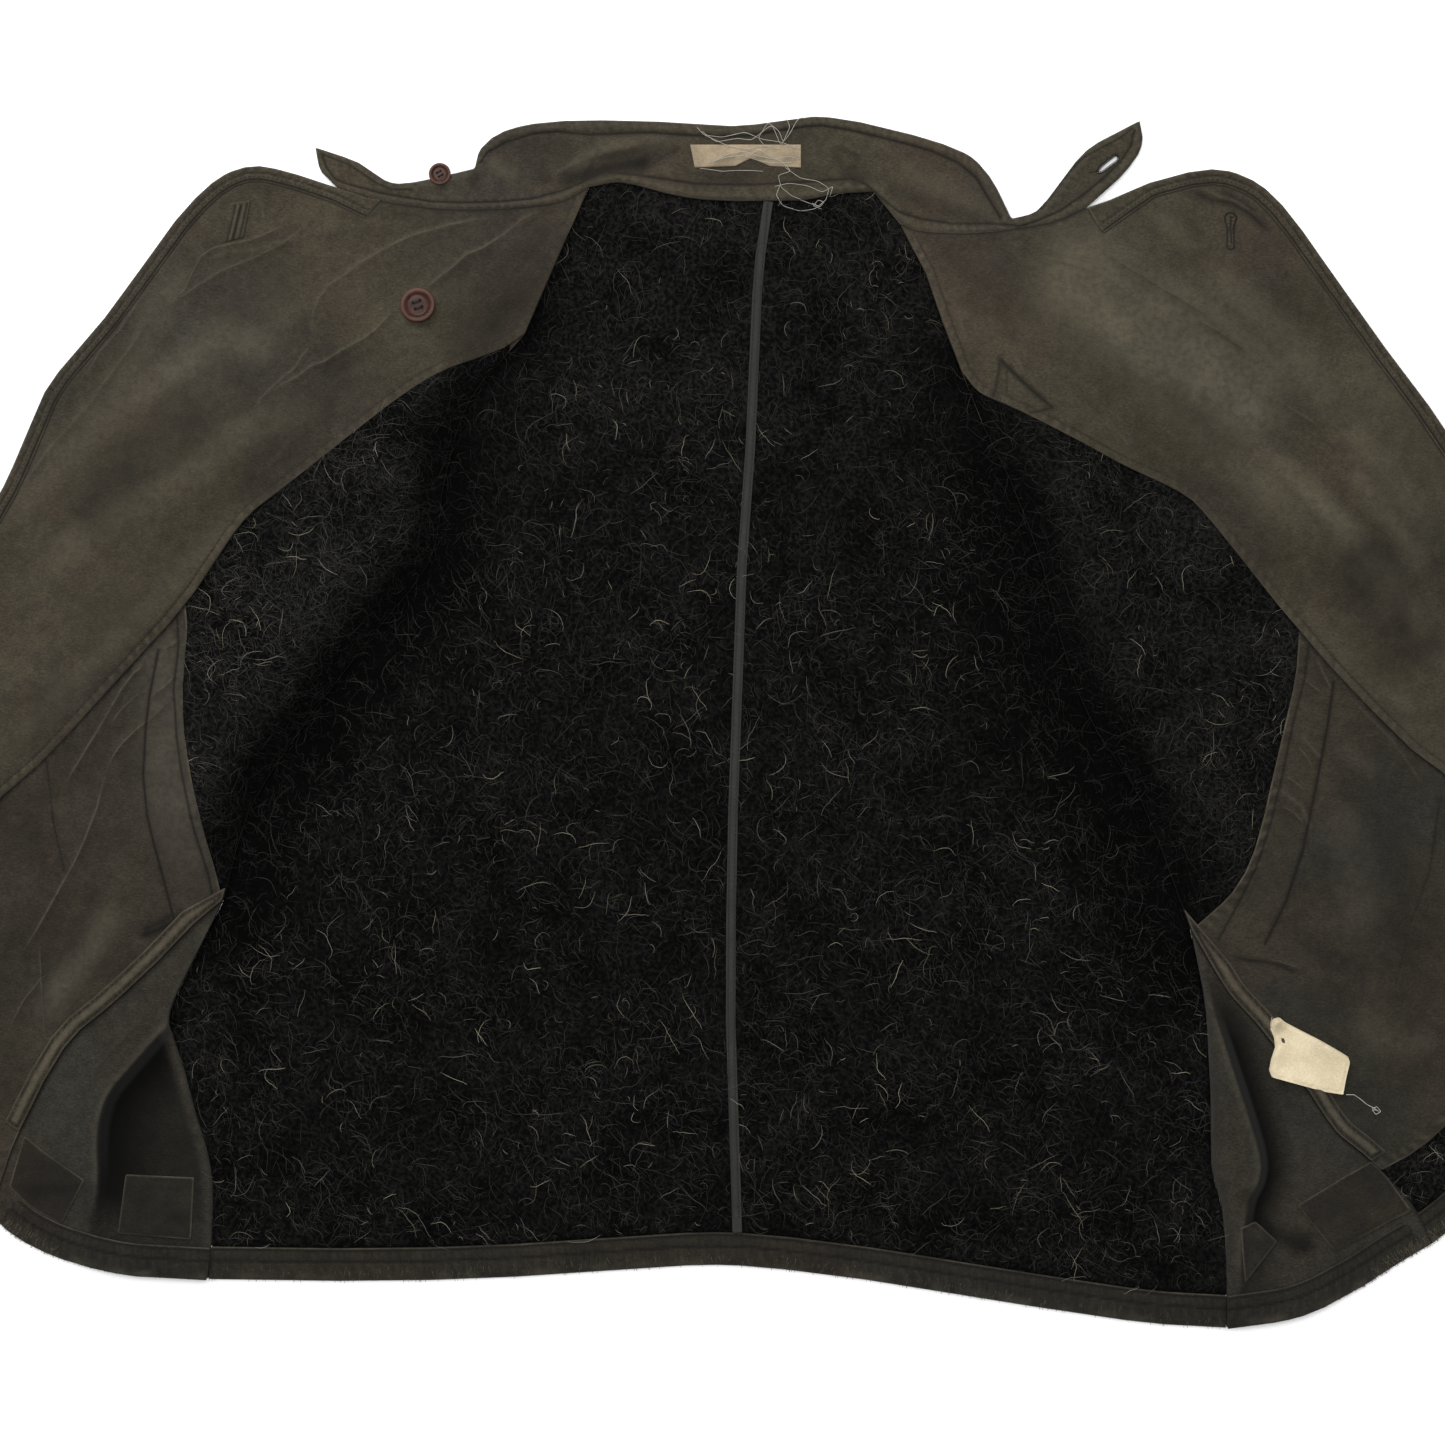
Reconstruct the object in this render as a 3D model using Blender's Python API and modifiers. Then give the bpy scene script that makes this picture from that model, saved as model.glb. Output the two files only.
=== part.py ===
"""A wool-lined work jacket that lies open on its back, with its inside up.

The jacket is built the way it was sewn. Each cut piece of cloth is one closed wall of its own thickness.
X runs across the jacket from the centre back seam, and +X is the wearer's left front.
Y runs up the back towards the collar. Z is up, and the floor is z = 0.

Cloth that lies on other cloth shares one square lattice of heights with it, so that the layers stay
the same distance apart wherever they rise over a sleeve or a fold.
"""

import math

import bmesh
import bpy
from mathutils import Matrix, Vector
from mathutils.geometry import interpolate_bezier

MM = 0.001

# Thickness of each cloth, and the gap that lying or meeting pieces keep
TWILL = 1.2 * MM
WOOL = 2.5 * MM
LABEL = 1.0 * MM
BAND = 1.8 * MM
GAP = 0.3 * MM
LAYER = TWILL + GAP
WOOL_LAYER = WOOL + GAP

# Widths of the sewn margins
HEM_WIDTH = 21 * MM
EDGE_WIDTH = 10 * MM
SEAM_WIDTH = 11 * MM
TAPE_WIDTH = 6.5 * MM
UNDERLAP = 12 * MM

# Squares of the height lattice: wide for the large panels, fine for the gussets' folds
CELL = 32 * MM
FINE_CELL = 14 * MM

# Sleeve, pressed flat: its two walls and the room between them
SLEEVE_WALL = 1.5 * MM
SLEEVE_ROOM = 3.0 * MM
SLEEVE_SIDE = 3.0 * MM
SLEEVE_HEIGHT = 2 * SLEEVE_WALL + SLEEVE_ROOM

# Buttons
BUTTON_LARGE = 22 * MM
BUTTON_SMALL = 14 * MM
BUTTON_HEIGHT = 0.19
BUTTON_HOLE = 0.11
HOLE_SPACING = 0.10

LEFT, RIGHT = 0, 1
SIDES = ((LEFT, "left"), (RIGHT, "right"))

# Each seam line is a short table of places in millimetres.
# Its columns are x and y on the photo's left half, then x and y on its right half.

# from the neck point outwards to the collar notch
NECK_SEAM = (
    (-96, 341, 102, 317),
    (-112, 332, 112, 313),
    (-132, 328, 136, 311),
    (-176, 326, 162, 312),
    (-213, 329, 182, 315),
    (-236, 334, 202, 319),
    (-257, 341, 221, 328),
)
# from the collar notch round the top corner and down to the front's bottom corner
FRONT_EDGE = (
    (-257, 341, 221, 328),
    (-273, 346, 236, 333),
    (-287, 351, 261, 344),
    (-311, 355, 301, 353),
    (-333, 347, 327, 346),
    (-357, 324, 346, 330),
    (-376, 298, 365, 305),
    (-408, 254, 389, 270),
    (-440, 215, 420, 226),
    (-455, 181, 436, 205),
    (-471, 146, 449, 186),
    (-516, 72, 497, 113),
    (-561, -8, 548, 21),
    (-599, -81, 589, -62),
    (-621, -129, 621, -126),
)
# the slanted end of the band along that edge: on the neck seam, then on the facing
BAND_END = (
    (-228, 333, 221, 328),
    (-239, 321, 231, 311),
)
# from the front's bottom corner to the split between gusset and back
HEM = (
    (-621, -129, 621, -126),
    (-599, -161, 596, -161),
    (-567, -202, 564, -202),
    (-535, -244, 529, -247),
    (-503, -285, 490, -290),
    (-471, -321, 449, -327),
    (-452, -334, 420, -345),
    (-427, -344, 389, -364),
    (-389, -352, 354, -379),
    (-339, -355, 310, -386),
)
# the facing's inner edge, from the neck point to its bend, and from the bend to the hem
FACING_TOP = (
    (-96, 341, 102, 317),
    (-105, 320, 118, 286),
    (-124, 276, 129, 254),
    (-137, 247, 141, 223),
)
FACING_EDGE = (
    (-137, 247, 141, 223),
    (-150, 238, 152, 210),
    (-189, 222, 179, 197),
    (-227, 197, 240, 165),
    (-284, 154, 283, 144),
    (-315, 128, 299, 128),
    (-352, 75, 332, 86),
    (-397, 25, 375, 35),
    (-442, -24, 427, -18),
    (-471, -50, 449, -35),
    (-516, -113, 503, -107),
    (-543, -235, 540, -234),
)
# where the front rolls over the side of the back, from the facing's bend to the gusset's point
VALLEY = (
    (-137, 247, 141, 223),
    (-172, 205, 156, 186),
    (-188, 154, 172, 154),
    (-197, 104, 191, 104),
    (-236, 53, 204, 53),
    (-280, -5, 223, 2),
    (-312, -56, 255, -49),
    (-329, -113, 287, -132),
)
# the felled seam between front and gusset, from the gusset's point to the hem
SIDE_SEAM = (
    (-329, -113, 287, -132),
    (-347, -128, 310, -171),
    (-370, -152, 328, -191),
    (-399, -179, 347, -215),
    (-423, -199, 364, -238),
    (-438, -220, 379, -260),
    (-452, -246, 396, -274),
    (-464, -272, 414, -291),
    (-472, -296, 431, -311),
    (-484, -324, 446, -342),
)
# the gusset's other edge, against the back
GUSSET_BACK = (
    (-329, -113, 287, -132),
    (-335, -125, 291, -151),
    (-347, -150, 296, -176),
    (-361, -179, 298, -196),
    (-363, -193, 299, -215),
    (-354, -222, 300, -240),
    (-347, -249, 300, -266),
    (-339, -275, 301, -286),
    (-336, -298, 307, -308),
    (-337, -332, 310, -344),
    (-339, -355, 310, -386),
)
# the start of the back's shoulder seam, just clear of the collar
SHOULDER = ((-106, 320, 110, 304),)
# the back's hidden armhole and side, from shoulder point to gusset, under the front
ARMHOLE = (
    (-217, 276, 217, 276),
    (-217, 218, 217, 218),
    (-218, 174, 220, 174),
    (-226, 104, 226, 104),
    (-274, 21, 248, 21),
)
BACK_SIDE = (
    (-274, 21, 248, 21),
    (-318, -49, 277, -49),
    (-341, -106, 299, -112),
    (-335, -125, 291, -151),
)
# cuff corners: the outer one, then the one that meets the underarm seam
CUFF = (
    (-773, -65, 773, -65),
    (-706, -177, 706, -177),
)
# the pocket patch's inner edge, from the facing to the gusset's point
POCKET_SIDE = (
    (-352, 75, 355, 58),
    (-351, 60, 353, 30),
    (-354, 23, 347, 3),
    (-352, -7, 338, -35),
    (-347, -33, 332, -61),
    (-339, -69, 315, -104),
    (-329, -113, 287, -132),
)
# its bottom edge, from the side seam to the facing
POCKET_BOTTOM = (
    (-466, -306, 404, -288),
    (-484, -271, 431, -273),
    (-500, -245, 449, -258),
    (-536, -196, 526, -186),
)
# the top of the gusset's fold
FOLD_RIDGE = (
    (-329, -113, 287, -132),
    (-335, -125, 293, -154),
    (-347, -150, 299, -183),
    (-361, -179, 306, -204),
    (-378, -205, 315, -229),
    (-394, -222, 325, -263),
    (-403, -240, 330, -285),
    (-409, -261, 325, -303),
    (-409, -280, 321, -318),
)

# Lines that cross the middle have two columns, x and y
BACK_NECK = (
    (-96, 341),
    (-76, 344),
    (-47, 337),
    (-23, 333),
    (18, 332),
    (43, 333),
    (61, 337),
    (85, 338),
)
BACK_NECK_CORNER = (102, 317)
BACK_HEM = (
    (-339, -355),
    (-280, -356),
    (-217, -356),
    (-153, -354),
    (-89, -350),
    (-10, -346),
    (70, -354),
    (134, -364),
    (197, -374),
    (261, -383),
    (310, -386),
)
CENTRE_BACK = (
    (18, 331),
    (12, 288),
    (9, 226),
    (6, 165),
    (2, 115),
    (-2, 14),
    (-5, -81),
    (-6, -177),
    (-5, -230),
    (-1, -346),
)
# the collar's free edge, in stretches that meet at corners
COLLAR_LEFT_TIP = ((-257, 341), (-267, 351), (-270, 360), (-271, 367))
COLLAR_LEFT_END = ((-271, 367), (-243, 357), (-222, 344), (-199, 346), (-169, 353))
COLLAR_TOP = (
    (-169, 353),
    (-165, 366),
    (-150, 377),
    (-117, 383),
    (-57, 383),
    (-5, 380),
    (25, 383),
    (52, 386),
    (96, 378),
    (143, 363),
    (159, 348),
    (173, 321),
)
COLLAR_RIGHT_END = ((173, 321), (189, 326), (204, 345), (221, 365), (241, 377), (255, 384))
COLLAR_RIGHT_TIP = ((255, 384), (257, 373), (254, 362), (241, 346), (221, 328))

# Patches and labels, corner by corner
HEM_PATCH_FRONT = (
    (-456, -263, 404, -278),
    (-417, -291, 355, -308),
    (-433, -321, 379, -338),
    (-468, -303, 428, -311),
)
HEM_PATCH_BACK = (
    (-392, -288, 318, -321),
    (-348, -290, 329, -318),
    (-350, -330, 343, -331),
    (-397, -326, 322, -358),
)
NECK_LABEL = ((-32, 368), (39, 368), (39, 353), (19, 354), (7, 359), (-3, 354), (-29, 353))
CARE_LABEL = ((338, -186), (389, -215), (385, -238), (336, -223))
BUTTONHOLE_BINDING = ((-325, 331), (-312, 333), (-316, 309), (-331, 305))
TAB_BUTTONHOLE = ((240, 360), (230, 352))
TAB_BUTTONHOLE_WIDTH = 3.8
BUTTON_LARGE_AT = (-204, 264)
BUTTON_SMALL_AT = (-191, 349)

# Soft folds: x and y of both ends, height and half width in mm, for each stack of cloth
FRONT_FOLDS = (
    (-150, 300, -300, 170, 4.5, 30),
    (-210, 300, -420, 120, 4.0, 34),
    (-330, 170, -520, -60, 4.0, 36),
    (170, 290, 330, 150, 4.0, 30),
    (250, 300, 430, 90, 4.5, 36),
    (350, 120, 520, -60, 4.0, 34),
)
BACK_FOLDS = (
    (-165, 80, -160, -115, 3.0, 26),
    (-230, -140, -285, -300, 3.0, 24),
    (150, 60, 225, -150, 3.0, 28),
    (230, -190, 250, -330, 2.5, 24),
)

# The roll of the front beside the valley: its distance in from the edge, height and half width
ROLL_IN = 30 * MM
ROLL_HEIGHT = 17 * MM
ROLL_WIDTH = 27 * MM

# How far the lift over hidden cloth stays level before it falls away, in lattice squares and metres
LEVEL = 1.45 * CELL
FALL = 60 * MM

# The gusset's fold: height, and half widths towards the front and towards the back
FOLD_HEIGHT = 14 * MM
FOLD_FRONT = 34 * MM
FOLD_BACK = 10 * MM
GUSSET_LIFT = 6 * MM

# How exactly an outline follows its curve
STEP = 5 * MM
CHORD = 0.4 * MM

COLOURS = {
    "twill": ((0.052, 0.046, 0.034), 0.85),
    "wool": ((0.012, 0.012, 0.012), 0.95),
    "tape": ((0.030, 0.031, 0.031), 0.9),
    "label": ((0.30, 0.25, 0.18), 0.8),
    "care_label": ((0.72, 0.66, 0.52), 0.8),
    "button": ((0.085, 0.030, 0.024), 0.4),
}


# Lines in the plane


def smooth(places):
    """A curve through the places, in metres, as Bezier stretches with level handles."""
    points = [Vector((x * MM, y * MM)) for x, y in places]
    count = len(points)
    slopes = []
    for i in range(count):
        before = points[max(i - 1, 0)]
        after = points[min(i + 1, count - 1)]
        slopes.append((after - before).normalized())
    line = [points[0]]
    for i in range(count - 1):
        a, b = points[i], points[i + 1]
        reach = (b - a).length / 3
        pieces = max(2, round((b - a).length / STEP))
        bend = interpolate_bezier(a, a + slopes[i] * reach, b - slopes[i + 1] * reach, b, pieces + 1)
        line += [Vector(p[:2]) for p in bend[1:]]
    return thin(line)


def side_line(table, side):
    """The curve of a four-column table on one side."""
    return smooth([row[2 * side : 2 * side + 2] for row in table])


def side_corners(table, side):
    """The corners of a four-column table on one side, in metres."""
    return corners([row[2 * side : 2 * side + 2] for row in table])


def corners(places):
    return [Vector((x * MM, y * MM)) for x, y in places]


def thin(line, chord=CHORD):
    """The line with only the points that keep it within a chord's error."""
    if len(line) < 3:
        return list(line)
    a, b = line[0], line[-1]
    far, worst = 0, 0.0
    for i in range(1, len(line) - 1):
        away = (line[i] - nearest_on(a, b, line[i])).length
        if away > worst:
            far, worst = i, away
    if worst <= chord:
        return [a, b]
    return thin(line[: far + 1], chord)[:-1] + thin(line[far:], chord)


def nearest_on(a, b, p):
    """The point of the stretch from a to b that is nearest p."""
    along = b - a
    share = (p - a).dot(along) / max(along.length_squared, 1e-12)
    return a + along * min(1.0, max(0.0, share))


def distance(line, p, closed=False):
    """How far p is from a line."""
    ends = zip(line, line[1:] + line[:1]) if closed else zip(line, line[1:])
    return min((p - nearest_on(a, b, p)).length for a, b in ends)


def place_along(line, p):
    """The distance from p to the line, and the share of its length at the nearest point."""
    total = sum((b - a).length for a, b in zip(line, line[1:]))
    best, share, run = math.inf, 0.0, 0.0
    for a, b in zip(line, line[1:]):
        q = nearest_on(a, b, p)
        if (p - q).length < best:
            best = (p - q).length
            share = (run + (q - a).length) / total
        run += (b - a).length
    return best, share


def inside(outline, p):
    """Whether p is inside a closed outline."""
    odd = False
    for a, b in zip(outline, outline[1:] + outline[:1]):
        if (a.y > p.y) != (b.y > p.y) and p.x < (b.x - a.x) * (p.y - a.y) / (b.y - a.y) + a.x:
            odd = not odd
    return odd


def apart(outline, p):
    """How far p is outside a closed outline, 0 inside it."""
    return 0.0 if inside(outline, p) else distance(outline, p, closed=True)


def area(outline):
    """The outline's area, positive when it runs anticlockwise."""
    return sum(a.cross(b) for a, b in zip(outline, outline[1:] + outline[:1])) / 2


def shifted(line, step, closed=False):
    """The line moved sideways by step, to its left as it runs."""
    count = len(line)
    moved = []
    for i in range(count):
        before = line[i - 1] if i or closed else None
        after = line[(i + 1) % count] if i < count - 1 or closed else None
        into = (line[i] - before).normalized() if before is not None else (after - line[i]).normalized()
        out = (after - line[i]).normalized() if after is not None else into
        normal = Vector((-into.y - out.y, into.x + out.x)).normalized()
        square = max(0.4, normal.dot(Vector((-into.y, into.x))))
        moved.append(line[i] + normal * step / square)
    return moved


def inset(outline, step=GAP / 2):
    """A closed outline drawn in by half a gap, so that two that share a seam line stay a gap apart."""
    tidy = [p for p, q in zip(outline, outline[1:] + outline[:1]) if (p - q).length > 0.02 * MM]
    return shifted(tidy, step if area(tidy) > 0 else -step, closed=True)


def crossing(a, b, c, d):
    """The share of a to b where it crosses c to d, or None."""
    along, across = b - a, d - c
    twist = along.cross(across)
    if abs(twist) < 1e-14:
        return None
    share = (c - a).cross(across) / twist
    other = (c - a).cross(along) / twist
    return share if 0 <= share <= 1 and 0 <= other <= 1 else None


def longer(line, more=25 * MM):
    """The line with both ends run on straight."""
    start = line[0] + (line[0] - line[1]).normalized() * more
    end = line[-1] + (line[-1] - line[-2]).normalized() * more
    return [start] + list(line) + [end]


def until(line, other):
    """The line as far as its first crossing with the other line."""
    kept = [line[0]]
    for a, b in zip(line, line[1:]):
        shares = [crossing(a, b, c, d) for c, d in zip(other, other[1:])]
        found = [s for s in shares if s is not None]
        if found:
            return kept + [a.lerp(b, min(found))]
        kept.append(b)
    return kept


def after(line, other):
    """The line from its first crossing with the other line, seen from its end."""
    return until(line[::-1], other)[::-1]


def between(line, first, last):
    """The stretch of a line between two others that cross it."""
    return until(after(longer(line), first), last)


# Seam lines of one side


def lines(side):
    """Every seam line of one front, in metres, by name."""
    turn = 1 if side == LEFT else -1
    edge = side_line(FRONT_EDGE, side)
    hem = side_line(HEM, side)
    seam = side_line(SIDE_SEAM, side)
    found = {
        "neck": side_line(NECK_SEAM, side),
        "edge": edge,
        "hem": hem,
        "facing_top": side_line(FACING_TOP, side),
        "facing": side_line(FACING_EDGE, side),
        "valley": side_line(VALLEY, side),
        "seam": seam,
        "gusset_back": side_line(GUSSET_BACK, side),
        "armhole": side_line(ARMHOLE, side),
        "back_side": side_line(BACK_SIDE, side),
        "pocket_side": side_line(POCKET_SIDE, side),
        "pocket_bottom": side_line(POCKET_BOTTOM, side),
        "ridge": side_line(FOLD_RIDGE, side),
        "hem_top": thin(shifted(hem, turn * HEM_WIDTH)),
    }
    end = side_corners(BAND_END, side)
    inner = thin(shifted(edge, turn * EDGE_WIDTH))
    found["edge_band"] = end[1:] + [p for p in inner if (p - end[1]).length > 1.8 * EDGE_WIDTH]
    neck = found["neck"]
    near = place_along(neck, end[0])[1]
    found["neck_facing"] = [p for p in neck if place_along(neck, p)[1] < near - 0.005] + end[:1]
    found["neck_band"] = end[:1] + [p for p in neck if place_along(neck, p)[1] > near + 0.005]
    found["front_hem"] = until(hem, longer(seam))
    found["gusset_hem"] = after(hem, longer(seam))
    return found


def front_outline(cut):
    """The whole front as the shell is cut."""
    seam = until(cut["seam"], cut["hem"])
    return (
        cut["neck"][:-1]
        + cut["edge"][:-1]
        + cut["front_hem"][:-1]
        + seam[::-1][:-1]
        + cut["valley"][::-1][:-1]
        + cut["facing_top"][::-1][:-1]
    )


def wool_outline(cut, side):
    """The front's wool: from under the facing to the valley, the side seam and the hem band."""
    under = -UNDERLAP if side == LEFT else UNDERLAP
    hidden = until(shifted(cut["facing"], under), longer(cut["hem_top"]))
    seam = until(cut["seam"], longer(cut["hem_top"]))
    low = between(cut["hem_top"], longer(hidden), longer(seam))
    return hidden[:-1] + low[:-1] + seam[::-1][:-1] + cut["valley"][::-1][:-1]


def facing_outline(cut):
    """The facing: from the neck seam down between its inner edge and the edge band."""
    inner = until(cut["facing"], longer(cut["hem_top"]))
    outer = until(cut["edge_band"], longer(cut["hem_top"]))
    low = between(cut["hem_top"], longer(cut["edge_band"]), longer(inner))
    return cut["neck_facing"] + outer[:-1] + low[:-1] + inner[::-1][:-1] + cut["facing_top"][::-1][:-1]


def band_outline(cut):
    """The stitched band along the front's outer edge, from its slanted end by the neck to the hem."""
    outer = until(cut["edge"], longer(cut["hem_top"]))
    inner = until(cut["edge_band"], longer(cut["hem_top"]))
    start = cut["neck_band"] if len(cut["neck_band"]) > 1 else []
    return start[:-1] + outer + inner[::-1]


def hem_outline(cut):
    """The turned-up hem band of front and gusset."""
    top = after(longer(cut["hem_top"]), cut["edge"])
    top = until(top, longer(cut["gusset_back"]))
    side = after(cut["gusset_back"], longer(cut["hem_top"]))
    edge = after(cut["edge"], longer(cut["hem_top"]))
    return edge[:-1] + cut["hem"][:-1] + side[::-1][:-1] + top[::-1][:-1]


def pocket_outline(cut, side):
    """The pocket patch: its upper edge is under the facing."""
    under = -UNDERLAP if side == LEFT else UNDERLAP
    hidden = shifted(cut["facing"], under)
    bottom = cut["pocket_bottom"]
    upper = until(after(hidden, longer(cut["pocket_side"])), longer(bottom))
    inner = after(longer(cut["pocket_side"]), hidden)[:-1]
    seam = until(cut["seam"], bottom)
    low = until(after(bottom, cut["seam"]), hidden)
    return inner[:-1] + seam[:-1] + low[:-1] + upper[::-1][:-1]


def seam_outline(cut, side):
    """The felled strip along the front's side of the side seam."""
    step = -SEAM_WIDTH if side == LEFT else SEAM_WIDTH
    patch_top = longer(side_corners(HEM_PATCH_FRONT, side)[:2], 60 * MM)
    seam = until(cut["seam"], patch_top)
    inner = until(shifted(cut["seam"], step), patch_top)
    inner[0] = cut["valley"][-2].lerp(cut["valley"][-1], 0.75)
    return seam + inner[::-1]


def gusset_outline(cut):
    """The gusset, between the side seam, the hem and the back."""
    seam = until(cut["seam"], cut["hem"])
    return seam[:-1] + cut["gusset_hem"][:-1] + cut["gusset_back"][::-1][:-1]


def sleeve_outline(cut, side, less=0.0, past=0.0):
    """The flattened sleeve. With less, its side edges move in, and with past, its ends move out."""
    cap = cut["armhole"]
    outer, inner = side_corners(CUFF, side)
    up = (outer - inner).normalized()
    out = (outer - cap[0]).normalized()
    inwards = Vector((1 if side == LEFT else -1, 0))
    head = [p + inwards * past for p in cap]
    head[0] = head[0] - up * less
    head[-1] = head[-1] + up * less
    return head + [inner + up * less + out * past, outer - up * less + out * past]


# Heights


def ease(share):
    """A soft step from 0 to 1."""
    share = min(1.0, max(0.0, share))
    return share * share * (3 - 2 * share)


def folds(table, p):
    """The height that a table's soft folds add at p."""
    total = 0.0
    for ax, ay, bx, by, height, half in table:
        away, share = place_along(corners(((ax, ay), (bx, by))), p)
        ends = math.sin(math.pi * (0.15 + 0.7 * share))
        total += height * MM * ends * swell(away / (half * MM))
    return total


def swell(share):
    """A rounded ridge: 1 on its crest, and 0 from 1.8 half widths away."""
    reach = min(1.0, share / 1.8)
    return (1 - reach * reach) ** 2


def back_height(p):
    """The underside of the back's wool: flat on the shell but for its folds."""
    return LAYER + folds(BACK_FOLDS, p) * (1 - ease(1 - margin(p)))


def margin(p):
    """1 in the open middle of the back, falling to 0 towards the fronts and the hem."""
    near = min(distance(VALLEY_LINES[side], p) for side in (LEFT, RIGHT))
    low = distance(BACK_HEM_LINE, p)
    return min(1.0, near / (2.2 * CELL), max(0.0, low - 2.2 * CELL) / CELL)


def hidden_bulk(cut, side):
    """The outlines that lift the front: the back that it covers, and the sleeve."""
    covered = cut["armhole"][:-1] + cut["back_side"] + cut["valley"][::-1] + cut["facing_top"][::-1]
    return covered, sleeve_outline(cut, side)


def lift(bulk, p):
    """How high the hidden back and sleeve hold the front at p."""
    away = min(apart(outline, p) for outline in bulk)
    return (SLEEVE_HEIGHT + GAP) * ease(1 - (away - LEVEL) / FALL)


def roll(side, p):
    """The rounded fold of the front beside the valley."""
    away, share = place_along(CRESTS[side], p)
    ends = ease(share / 0.22) * ease((1 - share) / 0.12)
    return ROLL_HEIGHT * ends * swell(away / ROLL_WIDTH)


def front_height(cut, side, bulk):
    """The underside of the front's shell as a function of the place."""

    def height(p):
        flat = ease((lowest(cut, p) - HEM_WIDTH - LEVEL) / FALL)
        return lift(bulk, p) + roll(side, p) + folds(FRONT_FOLDS, p) * flat

    return height


def lowest(cut, p):
    """How far p is from the hem."""
    return distance(cut["hem"], p)


def raised(height, *layers):
    """A height lifted by layers, each whole within a lattice square of its outline."""

    def over(p):
        total = height(p)
        for outline, step in layers:
            if outline is None:
                total += step
            else:
                total += step * ease(1 - (apart(outline, p) - LEVEL) / (FALL * 0.6))
        return total

    return over


def on_lattice(height, cell=CELL):
    """The height of the flat triangles that a lattice makes of a height, by the higher diagonal."""

    def over(p):
        x, y = math.floor(p.x / cell), math.floor(p.y / cell)
        u, v = p.x / cell - x, p.y / cell - y
        low_left, low_right, top_left, top_right = (
            height(Vector(((x + i) * cell, (y + j) * cell))) for j in (0, 1) for i in (0, 1)
        )
        if v > u:
            rising = low_left * (1 - v) + top_left * (v - u) + top_right * u
        else:
            rising = low_left * (1 - u) + low_right * (u - v) + top_right * v
        if u + v < 1:
            falling = low_left * (1 - u - v) + low_right * u + top_left * v
        else:
            falling = top_right * (u + v - 1) + low_right * (1 - v) + top_left * (1 - u)
        return max(rising, falling)

    return over


def highest(*heights):
    """The highest of several heights."""
    return lambda p: max(height(p) for height in heights)


def gusset_height(cut, side):
    """The gusset: it slopes down from the valley, rises into a fold, and lies flat at the hem."""

    def height(p):
        low = ease((lowest(cut, p) - HEM_WIDTH - 2 * FINE_CELL) / (34 * MM))
        away, share = place_along(cut["ridge"], p)
        beyond = inside_fold(cut, p)
        half = FOLD_BACK if beyond else FOLD_FRONT
        ends = 0.55 + 0.45 * ease(share / 0.3)
        ridge = FOLD_HEIGHT * ends * swell(away / half)
        slope = GUSSET_LIFT * ease(1 - share) * (0.4 if beyond else 1.0)
        return low * (ridge + slope)

    return height


def inside_fold(cut, p):
    """Whether p is on the back's side of the fold's ridge."""
    shape = cut["ridge"] + [cut["hem"][-1] + (cut["ridge"][-1] - cut["hem"][-1]) * 0.2] + cut["gusset_back"][::-1]
    return inside(shape, p)


def collar_height(bulks):
    """The collar: on the floor at its ends, lifted a little where it passes the shoulders."""

    def height(p):
        return 0.62 * max(lift(bulk, p) for bulk in bulks)

    return height


# Solids


def collection(name):
    found = bpy.data.collections.new(name)
    bpy.context.scene.collection.children.link(found)
    return found


def material(name):
    """A Principled BSDF of the named colour, made once."""
    found = bpy.data.materials.get(name)
    if found:
        return found
    colour, roughness = COLOURS[name]
    found = bpy.data.materials.new(name)
    found.use_nodes = True
    shader = found.node_tree.nodes["Principled BSDF"]
    shader.inputs["Base Color"].default_value = (*colour, 1.0)
    shader.inputs["Roughness"].default_value = roughness
    return found


def add(name, mesh, cloth, group):
    mesh.name = name
    made = bpy.data.objects.new(name, mesh)
    if cloth:
        mesh.materials.append(material(cloth))
    group.objects.link(made)
    return made


def prism(name, outline, low, high, cloth, group):
    """A closed solid of a flat outline: a filled 2D curve, extruded and made a mesh."""
    curve = bpy.data.curves.new(name, "CURVE")
    curve.dimensions = "2D"
    curve.fill_mode = "BOTH"
    curve.extrude = (high - low) / 2
    spline = curve.splines.new("POLY")
    spline.points.add(len(outline) - 1)
    for point, place in zip(spline.points, outline):
        point.co = (place.x, place.y, 0.0, 1.0)
    spline.use_cyclic_u = True
    drawn = bpy.data.objects.new(name + "_curve", curve)
    group.objects.link(drawn)
    solid = bpy.data.meshes.new_from_object(drawn.evaluated_get(bpy.context.evaluated_depsgraph_get()))
    bpy.data.objects.remove(drawn)
    bpy.data.curves.remove(curve)
    mesh = bmesh.new()
    mesh.from_mesh(solid)
    bmesh.ops.remove_doubles(mesh, verts=mesh.verts, dist=0.000001)
    bmesh.ops.translate(mesh, verts=mesh.verts, vec=(0.0, 0.0, (high + low) / 2))
    bmesh.ops.recalc_face_normals(mesh, faces=mesh.faces)
    mesh.to_mesh(solid)
    mesh.free()
    solid.materials.clear()
    return add(name, solid, cloth, group)


def cutter(name, outline, low=-0.02, high=0.12):
    """A hidden prism for a Boolean."""
    made = prism("cut_" + name, outline, low, high, None, CUTTERS)
    made.hide_render = True
    made.display_type = "WIRE"
    return made


def combine(made, other, operation):
    step = made.modifiers.new(operation.lower(), "BOOLEAN")
    step.operation = operation
    step.solver = "EXACT"
    step.object = other


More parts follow.
